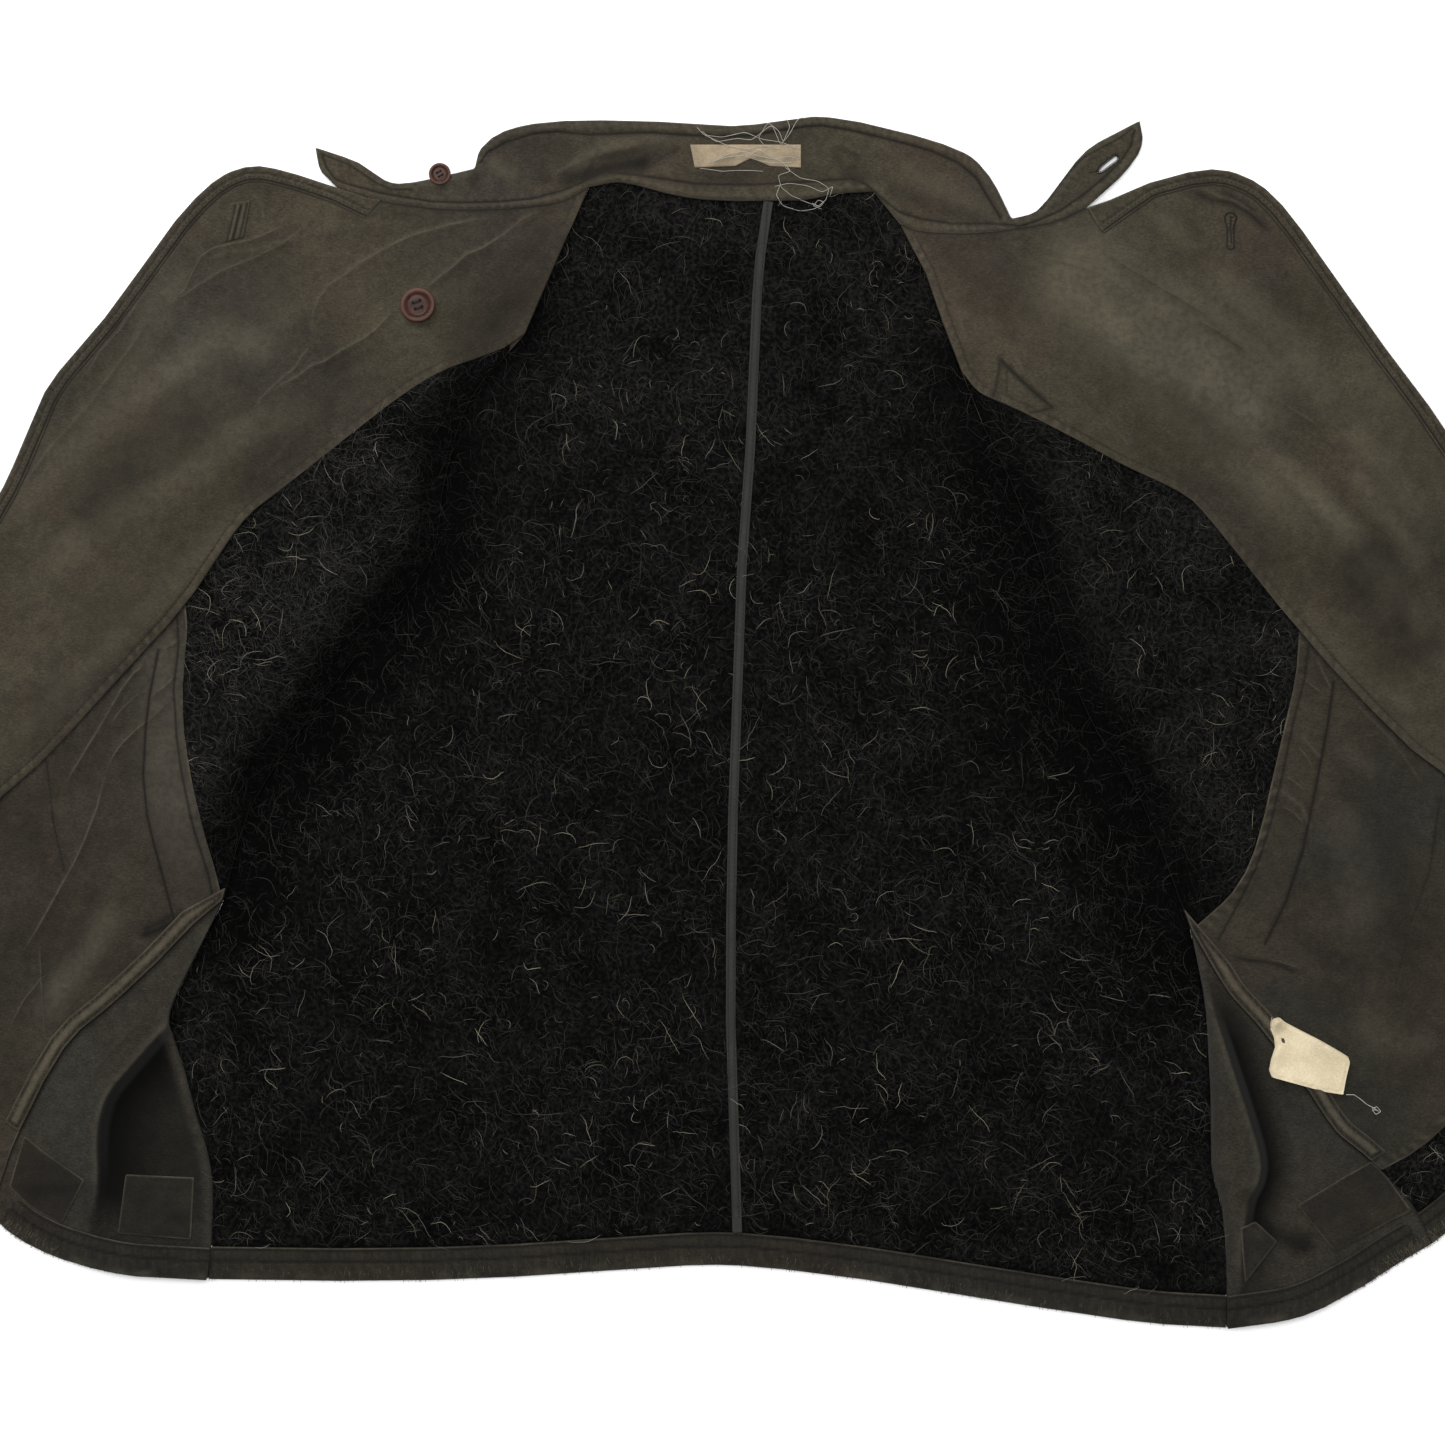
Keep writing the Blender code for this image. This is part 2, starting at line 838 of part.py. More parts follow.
def wall(name, outline, height, thickness, cloth, cell=CELL):
    """A cloth wall: a lattice of heights, thickened straight up, and cut to its outline."""
    shape = inset(outline)
    xs = [p.x for p in shape]
    ys = [p.y for p in shape]
    first_x, first_y = math.floor(min(xs) / cell) - 1, math.floor(min(ys) / cell) - 1
    last_x, last_y = math.ceil(max(xs) / cell) + 1, math.ceil(max(ys) / cell) + 1
    across, up = last_x - first_x, last_y - first_y
    mesh = bmesh.new()
    bmesh.ops.create_grid(
        mesh,
        x_segments=across,
        y_segments=up,
        size=0.5,
        matrix=Matrix.Translation(((first_x + last_x) / 2 * cell, (first_y + last_y) / 2 * cell, 0.0))
        @ Matrix.Diagonal((across * cell, up * cell, 1.0, 1.0)),
    )
    for vertex in mesh.verts:
        vertex.co.x = round(vertex.co.x / cell) * cell
        vertex.co.y = round(vertex.co.y / cell) * cell
        vertex.co.z = height(vertex.co.xy)
    bmesh.ops.triangulate(mesh, faces=mesh.faces, quad_method="FIXED")
    under = bmesh.ops.extrude_face_region(mesh, geom=mesh.faces[:])
    top = [v for v in under["geom"] if isinstance(v, bmesh.types.BMVert)]
    bmesh.ops.translate(mesh, verts=top, vec=(0.0, 0.0, thickness))
    bmesh.ops.recalc_face_normals(mesh, faces=mesh.faces)
    solid = bpy.data.meshes.new(name)
    mesh.to_mesh(solid)
    mesh.free()
    made = add(name, solid, cloth, JACKET)
    combine(made, cutter(name, shape), "INTERSECT")
    return made


def back_side(cut, side):
    """The back's whole side edge: shoulder, armhole, side and the seam with the gusset."""
    low = after(cut["gusset_back"], cut["back_side"][-2:])
    hidden = cut["armhole"][:-1] + cut["back_side"][:-1]
    return [cut["neck"][0]] + side_corners(SHOULDER, side) + hidden + low


def back_pieces(cuts):
    """The back: shell, hem band, two wool halves and the tape on the seam between them."""
    neck = smooth(BACK_NECK)
    right_neck = [neck[-1], corners([BACK_NECK_CORNER])[0]]
    left, right = cuts[LEFT], cuts[RIGHT]
    hem = BACK_HEM_LINE
    left_side, right_side = back_side(left, LEFT), back_side(right, RIGHT)
    shell = neck[:-1] + right_neck[:-1] + right_side[:-1] + hem[::-1][:-1] + left_side[::-1][:-1]
    prism("back_shell", inset(shell), 0.0, TWILL, "twill", JACKET)

    hem_top = shifted(hem, HEM_WIDTH)
    band_top = between(hem_top, longer(left_side), longer(right_side))
    left_end = after(left_side, longer(hem_top))
    right_end = after(right_side, longer(hem_top))
    band = left_end[:-1] + hem[:-1] + right_end[::-1][:-1] + band_top[::-1][:-1]
    prism("back_hem_band", inset(band), LAYER, LAYER + WOOL + 0.6 * MM, "twill", JACKET)

    centre = smooth(CENTRE_BACK)
    seam = between(centre, longer(neck), longer(hem_top))
    for side, word in SIDES:
        own = left_side if side == LEFT else right_side
        top = until(neck, longer(seam)) if side == LEFT else after(neck, longer(seam))
        low = until(band_top, longer(seam)) if side == LEFT else after(band_top, longer(seam))
        down = until(own, longer(hem_top))
        if side == LEFT:
            outline = top[:-1] + seam[:-1] + low[::-1][:-1] + down[::-1][:-1]
        else:
            outline = top[:-1] + right_neck[:-1] + down[:-1] + low[::-1][:-1] + seam[::-1][:-1]
        wall("back_wool_" + word, outline, back_height, WOOL, "wool")
    tape = shifted(seam, -TAPE_WIDTH / 2) + shifted(seam, TAPE_WIDTH / 2)[::-1]
    wall("centre_back_tape", tape, raised(back_height, (None, WOOL_LAYER)), 0.8 * MM, "tape")


def front_pieces(cut, side, word, bulk):
    """One front: shell, wool, patch, facing, edge band, hem band, side seam and its gusset."""
    shell = front_height(cut, side, bulk)
    wool = wool_outline(cut, side)
    patch = pocket_outline(cut, side)
    wall("front_shell_" + word, front_outline(cut), shell, TWILL, "twill")
    wall("front_wool_" + word, wool, raised(shell, (None, LAYER)), WOOL, "wool")
    wall("pocket_patch_" + word, patch, raised(shell, (None, LAYER + WOOL_LAYER)), TWILL, "twill")
    facing = raised(shell, (None, LAYER), (wool, WOOL_LAYER), (patch, LAYER))
    wall("facing_" + word, facing_outline(cut), facing, TWILL, "twill")
    wall("front_edge_band_" + word, band_outline(cut), facing, BAND, "twill")
    strip = raised(shell, (None, 2 * LAYER + WOOL_LAYER))
    wall("side_seam_" + word, seam_outline(cut, side), strip, TWILL, "twill")
    hem = raised(shell, (None, LAYER))
    wall("front_hem_band_" + word, hem_outline(cut), hem, BAND, "twill")
    return raised(facing, (None, LAYER)), raised(strip, (None, LAYER))


def gusset_pieces(cut, side, word):
    """The gusset with its fold, and the two patches sewn to it."""
    gusset = gusset_height(cut, side)
    wall("side_gusset_" + word, gusset_outline(cut), gusset, TWILL, "twill", FINE_CELL)
    over = raised(gusset, (None, LAYER))
    inside_seams = cutter("gusset_seams_" + word, inset(gusset_outline(cut)))
    hem_band = cutter("gusset_band_" + word, inset(hem_outline(cut), -GAP / 2))
    for table, place in ((HEM_PATCH_FRONT, "front"), (HEM_PATCH_BACK, "back")):
        outline = side_corners(table, side)
        patch = wall("hem_patch_" + place + "_" + word, outline, over, TWILL, "twill", FINE_CELL)
        combine(patch, inside_seams, "INTERSECT")
        combine(patch, hem_band, "DIFFERENCE")
    return over


def sleeve(cut, side, word):
    """A sleeve pressed flat: a tube that is open at the armhole and at the cuff."""
    outline = inset(sleeve_outline(cut, side))
    made = prism("sleeve_" + word, outline, 0.0, SLEEVE_HEIGHT, "twill", JACKET)
    room = sleeve_outline(cut, side, SLEEVE_SIDE, 30 * MM)
    hollow = cutter("sleeve_" + word, room, SLEEVE_WALL, SLEEVE_WALL + SLEEVE_ROOM)
    combine(made, hollow, "DIFFERENCE")


def collar_pieces(cuts, bulks):
    """The collar's outer and inner layers, with the buttonhole cut through its right tab."""
    neck = smooth(BACK_NECK) + corners([BACK_NECK_CORNER])
    free = [smooth(t) for t in (COLLAR_LEFT_TIP, COLLAR_LEFT_END, COLLAR_TOP, COLLAR_RIGHT_END, COLLAR_RIGHT_TIP)]
    outline = [p for part in free for p in part[:-1]]
    outline += cuts[RIGHT]["neck"][::-1][:-1] + neck[::-1][:-1] + cuts[LEFT]["neck"][:-1]
    a, b = corners(TAB_BUTTONHOLE)
    half = (b - a).normalized() * TAB_BUTTONHOLE_WIDTH * MM / 2
    beside = Vector((-half.y, half.x))
    slot = cutter("buttonhole", [a - half * 0.4, a + beside, b + beside, b + half * 0.4, b - beside, a - beside])
    base = collar_height(bulks)
    for name, rise in (("collar_outer", 0.0), ("collar_inner", LAYER)):
        made = wall(name, outline, raised(base, (None, rise)), TWILL, "twill")
        combine(made, slot, "DIFFERENCE")
    return raised(base, (None, 2 * LAYER))


def button(name, place, diameter, height):
    """A turned four-hole button with a raised rim, lying on the cloth."""
    radius = diameter / 2
    tall = diameter * BUTTON_HEIGHT
    profile = (
        (0.0, 0.62),
        (0.58, 0.62),
        (0.68, 0.70),
        (0.78, 0.98),
        (0.88, 1.0),
        (0.97, 0.84),
        (1.0, 0.55),
        (0.80, 0.08),
        (0.62, 0.0),
        (0.0, 0.0),
    )
    mesh = bpy.data.meshes.new(name)
    points = [(share * radius, 0.0, level * tall) for share, level in profile]
    mesh.from_pydata(points, [(i, i + 1) for i in range(len(points) - 1)], [])
    made = add(name, mesh, "button", JACKET)
    turn = made.modifiers.new("turn", "SCREW")
    turn.steps = 20
    turn.render_steps = 20
    turn.use_merge_vertices = True
    turn.merge_threshold = 0.00001
    away = diameter * HOLE_SPACING
    for i, (x, y) in enumerate(((1, 1), (-1, 1), (-1, -1), (1, -1))):
        hole = bpy.data.meshes.new(name)
        bore = bmesh.new()
        round_it = radius * BUTTON_HOLE
        bmesh.ops.create_cone(
            bore, cap_ends=True, segments=8, radius1=round_it, radius2=round_it, depth=4 * tall
        )
        bmesh.ops.translate(bore, verts=bore.verts, vec=(x * away, y * away, 0.0))
        bore.to_mesh(hole)
        bore.free()
        tool = add(f"cut_{name}_{i}", hole, None, CUTTERS)
        tool.hide_render = True
        tool.display_type = "WIRE"
        tool.parent = made
        combine(made, tool, "DIFFERENCE")
    centre = corners([place])[0]
    turns = [Vector((math.cos(t * math.pi / 8), math.sin(t * math.pi / 8))) for t in range(16)]
    lean = sum((t * height(centre + t * radius) for t in turns), Vector((0.0, 0.0))) / (8 * radius)
    under = [t * radius * share for t in turns for share in (0.0, 0.5, 1.0)]
    rest = max(height(centre + away) - lean.dot(away) for away in under)
    made.rotation_euler = Vector((-lean.x, -lean.y, 1.0)).to_track_quat("Z", "Y").to_euler()
    made.location = (*centre, rest + GAP)
    return made


for old in list(bpy.data.objects):
    bpy.data.objects.remove(old, do_unlink=True)
JACKET = collection("wool_lined_jacket")
CUTTERS = collection("cutters")
CUTS = [lines(side) for side, word in SIDES]
BULKS = [hidden_bulk(CUTS[side], side) for side, word in SIDES]
VALLEY_LINES = [CUTS[side]["valley"] for side, word in SIDES]
CRESTS = [shifted(CUTS[LEFT]["valley"], -ROLL_IN), shifted(CUTS[RIGHT]["valley"], ROLL_IN)]
BACK_HEM_LINE = smooth(BACK_HEM)

back_pieces(CUTS)
ON_FACING, ON_SEAM, ON_GUSSET = [], [], []
for side, word in SIDES:
    on_facing, on_seam = front_pieces(CUTS[side], side, word, BULKS[side])
    ON_FACING.append(on_facing)
    ON_SEAM.append(on_seam)
    ON_GUSSET.append(gusset_pieces(CUTS[side], side, word))
    sleeve(CUTS[side], side, word)
ON_COLLAR = collar_pieces(CUTS, BULKS)
wall("neck_label", corners(NECK_LABEL), ON_COLLAR, LABEL, "label")
wall("buttonhole_binding", corners(BUTTONHOLE_BINDING), ON_FACING[LEFT], LABEL, "twill")
on_right_seam = highest(ON_GUSSET[RIGHT], on_lattice(ON_SEAM[RIGHT]))
wall("care_label", corners(CARE_LABEL), on_right_seam, LABEL, "care_label", FINE_CELL)
button("button_large", BUTTON_LARGE_AT, BUTTON_LARGE, on_lattice(ON_FACING[LEFT]))
button("button_small", BUTTON_SMALL_AT, BUTTON_SMALL, on_lattice(ON_COLLAR))
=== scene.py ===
# %% [markdown]
# # A wool-lined work jacket, laid open on its back
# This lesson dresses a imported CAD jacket. The CAD gives each cut piece as a plain wall of cloth.
# Here every wall is laid again as fine cloth, with rolled edges, sunk seams, creases, wear and pile.
# We build it in the order in which the jacket lies: back, gussets, fronts, facings, collar, then trim.

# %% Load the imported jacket
import math

import bmesh
import bpy
import numpy as np
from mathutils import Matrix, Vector
from mathutils.geometry import delaunay_2d_cdt


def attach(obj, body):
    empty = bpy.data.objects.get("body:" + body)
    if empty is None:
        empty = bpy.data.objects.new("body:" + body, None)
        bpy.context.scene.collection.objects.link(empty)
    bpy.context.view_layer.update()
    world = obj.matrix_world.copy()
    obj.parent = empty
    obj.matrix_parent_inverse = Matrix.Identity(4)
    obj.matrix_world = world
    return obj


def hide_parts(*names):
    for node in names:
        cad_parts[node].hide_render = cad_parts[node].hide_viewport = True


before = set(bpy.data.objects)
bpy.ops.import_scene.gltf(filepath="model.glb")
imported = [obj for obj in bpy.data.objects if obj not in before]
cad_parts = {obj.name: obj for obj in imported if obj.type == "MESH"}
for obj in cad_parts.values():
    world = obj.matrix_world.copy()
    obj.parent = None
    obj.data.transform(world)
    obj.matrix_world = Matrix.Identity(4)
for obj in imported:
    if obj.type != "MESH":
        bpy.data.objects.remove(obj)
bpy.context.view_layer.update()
print("cut pieces in the frame:", len(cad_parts))

# %% [markdown]
# ## Places
# The photograph looks straight down, so one dot of it is always the same length on the cloth.
# A crease is easiest to note down in the photograph's dots. One helper turns such a list into metres.

# %% Turn places on the photograph into places on the jacket
MM = 0.001
DOT = 0.637 * MM
MIDDLE = (740.0, 722.5)


def spots(text):
    """Places such as "228,900 214,918", in the photograph's dots, as metres on the jacket."""
    pairs = np.array([[float(n) for n in pair.split(",")] for pair in text.split()])
    return (pairs - MIDDLE) * (DOT, -DOT)


print("the photograph is", round(1445 * DOT, 3), "m wide")

# %% [markdown]
# ## Outlines
# Each piece of cloth must end where its CAD wall ends, or seams would gape.
# We could type the outlines again, but reading them off the walls is exact: an edge of the upper side
# that belongs to only one face is on the outline. Linked end to end, those edges make a ring.

# %% Read the outline of every wall
def linked(edges):
    """Rings of point numbers, from edges that run the same way round."""
    after = {a: b for a, b in edges}
    rings = []
    while after:
        start, point = after.popitem()
        ring = [start]
        while point != start and point in after:
            ring.append(point)
            point = after.pop(point)
        rings.append(ring)
    return rings


def size_of(ring):
    """The area inside a ring of places, positive when it runs anticlockwise."""
    ahead = np.roll(ring, -1, axis=0)
    return float(np.sum(ring[:, 0] * ahead[:, 1] - ahead[:, 0] * ring[:, 1]) / 2)


def outline(node):
    """The widest ring round the upper side of a wall, in metres, anticlockwise."""
    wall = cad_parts[node].data
    joined, places = {}, []
    number = []
    for vertex in wall.vertices:
        key = tuple(round(n * 1e6) for n in vertex.co)
        if key not in joined:
            joined[key] = len(places)
            places.append(vertex.co.xy[:])
        number.append(joined[key])
    seen = set()
    for face in wall.polygons:
        if face.normal.z > 0.3:
            corner = [number[v] for v in face.vertices]
            seen.update((a, b) for a, b in zip(corner, corner[1:] + corner[:1]) if a != b)
    rings = [np.array([places[v] for v in ring]) for ring in linked([e for e in seen if e[::-1] not in seen])]
    return max(rings, key=lambda ring: abs(size_of(ring)))


rims = {node: outline(node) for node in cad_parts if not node.startswith("button_")}
print("outlines:", len(rims), "with", sum(len(ring) for ring in rims.values()), "points")

# %% [markdown]
# ## Distances
# Nearly every rule of cloth is a rule about distance: how far from a fold, a seam or an edge.
# Asking for all the points at once with numpy is hundreds of times quicker than one at a time.

# %% Measure from lines and rings
def from_line(line, at):
    """The distance of each place from a line, and the share of its length at the nearest point."""
    steps = np.hypot(*(line[1:] - line[:-1]).T)
    run = np.concatenate([[0.0], np.cumsum(steps)])
    best = np.full(len(at), np.inf)
    share = np.zeros(len(at))
    for i, step in enumerate(steps):
        if step < 1e-7:
            continue
        along = (line[i + 1] - line[i]) / step
        reach = np.clip((at - line[i]) @ along, 0, step)
        away = np.hypot(*(at - line[i] - reach[:, None] * along).T)
        nearer = away < best
        best[nearer] = away[nearer]
        share[nearer] = (run[i] + reach[nearer]) / run[-1]
    return best, share


def closed(ring):
    return np.vstack([ring, ring[:1]])


def within(ring, at):
    """Whether each place is inside a ring."""
    odd = np.zeros(len(at), bool)
    for (ax, ay), (bx, by) in zip(ring, np.roll(ring, -1, axis=0)):
        if ay != by:
            crosses = (ay > at[:, 1]) != (by > at[:, 1])
            odd ^= crosses & (at[:, 0] < (bx - ax) * (at[:, 1] - ay) / (by - ay) + ax)
    return odd


def outside(ring, at):
    """How far each place is outside a ring, 0 inside it."""
    return np.where(within(ring, at), 0.0, from_line(closed(ring), at)[0])


def stretch(ring, start, end, by):
    """The part of a ring from the point nearest start to the one nearest end, on the way past by."""
    first, last = (int(np.argmin(np.hypot(*(ring - p).T))) for p in (start, end))
    turned = np.roll(ring, -first, axis=0)
    count = (last - first) % len(ring)
    ways = (turned[: count + 1], np.vstack([turned[:1], turned[count:][::-1]]))
    return min(ways, key=lambda way: from_line(way, by[None])[0][0])


def evenly(line, step):
    """A line with its points set evenly, a step apart."""
    run = np.concatenate([[0.0], np.cumsum(np.hypot(*(line[1:] - line[:-1]).T))])
    marks = np.linspace(0, run[-1], max(2, int(round(run[-1] / step)) + 1))
    return np.stack([np.interp(marks, run, line[:, i]) for i in (0, 1)], 1)


def beside(line, step):
    """A line moved sideways, to its left as it runs."""
    along = np.gradient(line, axis=0)
    along /= np.maximum(np.hypot(*along.T), 1e-9)[:, None]
    return line + step * np.stack([-along[:, 1], along[:, 0]], 1)


SIDES = ("left", "right")
TURN = {"left": 1, "right": -1}


valleys = {
    "left": stretch(rims["front_wool_left"], *spots("525,335 223,900 430,560")),
    "right": stretch(rims["front_wool_right"], *spots("961,372 1190,930 1040,560")),
}
for side in SIDES:
    print(side, "valley:", round(float(np.sum(np.hypot(*np.diff(valleys[side], axis=0).T))), 3), "m")

# %% Close the outlines where pieces meet
# Where the facing's tip lifts off, the front's wool reaches right to the fold.
REACHED = {
    "front_wool_left": (
        ("487.2,372.5", "490.6,372.8"), ("488,370.9", "497,365.4"), ("488.8,369.3", "509.6,351"), ("513.8,319.7", "520.5,332"),
    ),
    "front_wool_right": (("978.5,383.5", "969,391"), ("977.4,370.9", "962.8,373.6")),
}
for node, moves in REACHED.items():
    for old, new in moves:
        nearest = int(np.argmin(np.hypot(*(rims[node] - spots(old)[0]).T)))
        rims[node][nearest] = spots(new)[0]


def close_seam(node, other):
    """Moves the outline of a piece across the sewing gap to the piece that it meets, so no light comes through."""
    line = evenly(closed(rims[other]), 0.2 * MM)
    for number, place in enumerate(rims[node]):
        to_line = line - place
        nearest = np.argmin(np.hypot(*to_line.T))
        if np.hypot(*to_line[nearest]) < 0.9 * MM:
            rims[node][number] = place + 1.5 * to_line[nearest]


for side in SIDES:
    close_seam("side_gusset_" + side, "front_shell_" + side)
    close_seam("facing_" + side, "collar_inner")
    close_seam("facing_" + side, "collar_outer")
    close_seam("back_wool_" + side, "collar_inner")

# %% [markdown]
# ## How the cloth lies
# The fronts lie over the back and over the flattened sleeves, roll down beside the back in a soft valley,
# and come to rest on the table. The heights are the same rules that shaped the CAD walls, so that each
# layer stays above the one below it. A simulation could find such a rest too, but not twice the same.

# %% Soft steps, ridges and waves
def ease(share):
    share = np.clip(share, 0, 1)
    return share * share * (3 - 2 * share)


def swell(share):
    """A rounded ridge: 1 on its crest and 0 from 1.8 half widths away."""
    return (1 - np.minimum(1, share / 1.8) ** 2) ** 2


def rumple(at, size, seed, turn=0.0, long=1.0):
    """Uneven waves between -1 and 1 of about one size, drawn out long in one direction."""
    c, s = math.cos(math.radians(turn)), math.sin(math.radians(turn))
    grid = np.stack([(at @ (c, s)) / (size * long), (at @ (-s, c)) / size], 1) + 500
    cell = np.floor(grid).astype(int)
    part = grid - cell
    part = part * part * (3 - 2 * part)
    knots = np.random.default_rng(seed).uniform(-1, 1, (128, 128))
    i, j = cell[:, 0], cell[:, 1]
    low = knots[i % 128, j % 128] * (1 - part[:, 0]) + knots[(i + 1) % 128, j % 128] * part[:, 0]
    high = knots[i % 128, (j + 1) % 128] * (1 - part[:, 0]) + knots[(i + 1) % 128, (j + 1) % 128] * part[:, 0]
    return low * (1 - part[:, 1]) + high * part[:, 1]


def ridges(at, table):
    """The height of soft folds: rows of two ends in millimetres, a height and a half width."""
    total = np.zeros(len(at))
    for ax, ay, bx, by, height, half in table:
        away, share = from_line(np.array([(ax, ay), (bx, by)]) * MM, at)
        total += height * MM * np.sin(np.pi * (0.15 + 0.7 * share)) * swell(away / (half * MM))
    return total


# %% The layers' rules, from the table upwards
TWILL, WOOL = 1.2 * MM, 2.5 * MM
GAP = 0.3 * MM
LAYER, WOOL_LAYER = TWILL + GAP, WOOL + GAP
LEVEL, FALL = 46.4 * MM, 60 * MM
SLEEVE_HEIGHT = 6 * MM
HEM_WIDTH = 21 * MM
ROLL_IN, ROLL_HEIGHT, ROLL_WIDTH = 30 * MM, 17 * MM, 27 * MM
FRONT_FOLDS = (
    (-150, 300, -300, 170, 4.5, 30),
    (-210, 300, -420, 120, 4.0, 34),
    (-330, 170, -520, -60, 4.0, 36),
    (170, 290, 330, 150, 4.0, 30),
    (250, 300, 430, 90, 4.5, 36),
    (350, 120, 520, -60, 4.0, 34),
)
BACK_FOLDS = (
    (-165, 80, -160, -115, 3.0, 26),
    (-230, -140, -285, -300, 3.0, 24),
    (150, 60, 225, -150, 3.0, 28),
    (230, -190, 250, -330, 2.5, 24),
)
hems = {
    side: stretch(rims["front_hem_band_" + side], *spots(places))
    for side, places in (("left", "-235,925 208,1280 80,1262"), ("right", "1715,920 1227,1328 1310,1311"))
}
necks = {
    side: stretch(rims["collar_inner"], *spots(places))
    for side, places in (("left", "589,187 336,187 463,211"), ("right", "900,224 1087,207 995,233"))
}
crests = {side: beside(evenly(valleys[side], 12 * MM), -TURN[side] * ROLL_IN) for side in SIDES}


def held_up(side, at):
    """The lift over what the front hides: the back and the flattened sleeve."""
    away = np.minimum(outside(rims["back_shell"], at), outside(rims["sleeve_" + side], at))
    return (SLEEVE_HEIGHT + GAP) * ease(1 - (away - LEVEL) / FALL)


def collar_base(at):
    return 0.62 * np.maximum(held_up("left", at), held_up("right", at))


def toward(height, target, share):
    return height + (target - height) * share


def front_base(side, at):
    """The underside of the front's shell cloth."""
    away, share = from_line(crests[side], at)
    ends = ease(share / 0.22) * ease((1 - share) / 0.12)
    waver = 1 + 0.22 * rumple(at, 70 * MM, 3)
    roll = ROLL_HEIGHT * ends * swell(away / ROLL_WIDTH) * waver
    flat = ease((from_line(hems[side], at)[0] - HEM_WIDTH - LEVEL) / FALL)
    height = held_up(side, at) + roll + ridges(at, FRONT_FOLDS) * flat
    height = toward(height, 4.4 * MM, 0.8 * ease(1 - from_line(valleys[side], at)[0] / (17 * MM)))
    return toward(height, collar_base(at), ease(1 - from_line(necks[side], at)[0] / (26 * MM)))


def over(at, ring, step):
    """A layer's step, whole on what it covers and falling away beyond it."""
    return step * ease(1 - (outside(ring, at) - LEVEL) / (0.6 * FALL))


def facing_base(side, at):
    height = front_base(side, at) + LAYER + over(at, rims["front_wool_" + side], WOOL_LAYER)
    height += over(at, rims["pocket_patch_" + side], LAYER)
    return toward(height, collar_base(at) + LAYER, ease(1 - from_line(necks[side], at)[0] / (26 * MM)))


def back_base(at):
    """The underside of the back's wool, with its soft folds in the open middle."""
    near = np.minimum(from_line(valleys["left"], at)[0], from_line(valleys["right"], at)[0])
    low = from_line(closed(rims["back_hem_band"]), at)[0]
    open_middle = ease(np.minimum(near / (70 * MM), np.maximum(0, low - 50 * MM) / (32 * MM)))
    return LAYER + ridges(at, BACK_FOLDS) * open_middle


for side in SIDES:
    crown = front_base(side, crests[side])
    print(side, "front: crest of the roll", round(float(crown.max() / MM), 1), "mm above the table")

# %% [markdown]
# ## Laying a piece of cloth
# Cloth could be a subdivided CAD wall, but the wall's long triangles would show through.
# Instead we scatter fresh points inside the outline, closer together along edges and seams, and let
# Blender's Delaunay triangulation join them. The upper side gets every fold, the hidden under side is
# coarser, and a narrow wall closes the two. Each point also stores how worn it is, with painted light on
# some lit slopes, and how dark it is, with old dye in seams and painted shade in lees and hollows, so that
# the paint can pale the crests and darken seams and shaded places where the cloth bends.

# %% Points inside an outline
def sown(ring, pitch, guides, edge_rows):
    """Places for a cloth's points: its outline, rows beside its edge and its guides, and a jittered grid."""
    rim = evenly(closed(ring), min(pitch, 2.2 * MM))[:-1]
    rows = []
    for inset in edge_rows:
        row = beside(rim, inset)
        rows.append(row[from_line(closed(ring), row)[0] > 0.9 * inset])
    for line, reach in guides:
        dense = evenly(line, max(1.3 * MM, 0.8 * reach))
        for step in (-1.0, -0.45, 0.0, 0.45, 1.0):
            row = beside(dense, step * reach)
            rows.append(row[from_line(closed(ring), row)[0] > 0.8 * MM])
    low, high = rim.min(0), rim.max(0)
    across = np.arange(low[0], high[0], pitch)
    up = np.arange(low[1], high[1], pitch * 0.87)
    grid = np.stack(np.meshgrid(across, up), -1).astype(float)
    grid[1::2, :, 0] += pitch / 2
    grid = grid.reshape(-1, 2) + np.random.default_rng(len(rim)).uniform(-0.16, 0.16, (len(across) * len(up), 2)) * pitch
    clear = max([0.6 * pitch] + [1.25 * inset for inset in edge_rows])
    grid = grid[from_line(closed(ring), grid)[0] > clear]
    for line, reach in guides:
        grid = grid[from_line(line, grid)[0] > 1.4 * reach]
    places = np.vstack(rows + [grid])
    return rim, places[within(ring, places)]


def joined_up(rim, places, holes=()):
    """Triangles between the rim and its holes, and the number of each border point among them."""
    borders = [rim, *holes]
    starts = np.cumsum([0] + [len(border) for border in borders])
    points = [Vector(p) for p in np.vstack([*borders, places]).tolist()]
    edges = [
        (start + i, start + (i + 1) % len(border)) for border, start in zip(borders[1:], starts[1:]) for i in range(len(border))
    ]
    found = delaunay_2d_cdt(points, edges, [list(range(len(rim)))], 1, 1e-7)
    at = np.array([v[:] for v in found[0]])
    number = {old: new for new, olds in enumerate(found[3]) for old in olds}
    faces = np.array([tuple(f) for f in found[2]])
    for hole in holes:
        faces = faces[~within(hole, at[faces].mean(1))]
    return at, faces.tolist(), [[number[start + i] for i in range(len(b))] for b, start in zip(borders, starts)]


# %% Lay one piece of cloth
collection = bpy.data.collections.new("jacket_looks")
bpy.context.scene.collection.children.link(collection)


def put(name, points, faces, paint, **marks):
    """A smooth mesh object with its own paint, and marks stored on its points."""
    mesh = bpy.data.meshes.new(name)
    mesh.from_pydata(np.asarray(points, float).tolist(), [], faces)
    mesh.polygons.foreach_set("use_smooth", np.ones(len(mesh.polygons), bool))
    for mark, values in marks.items():
        mesh.attributes.new(mark, "FLOAT", "POINT").data.foreach_set("value", np.asarray(values, np.float32))
    mesh.materials.append(paint)
    piece = bpy.data.objects.new(name, mesh)
    collection.objects.link(piece)
    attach(piece, "root")
    return piece


def no_relief(at, inset):
    return np.zeros(len(at)), np.zeros(len(at)), np.zeros(len(at))


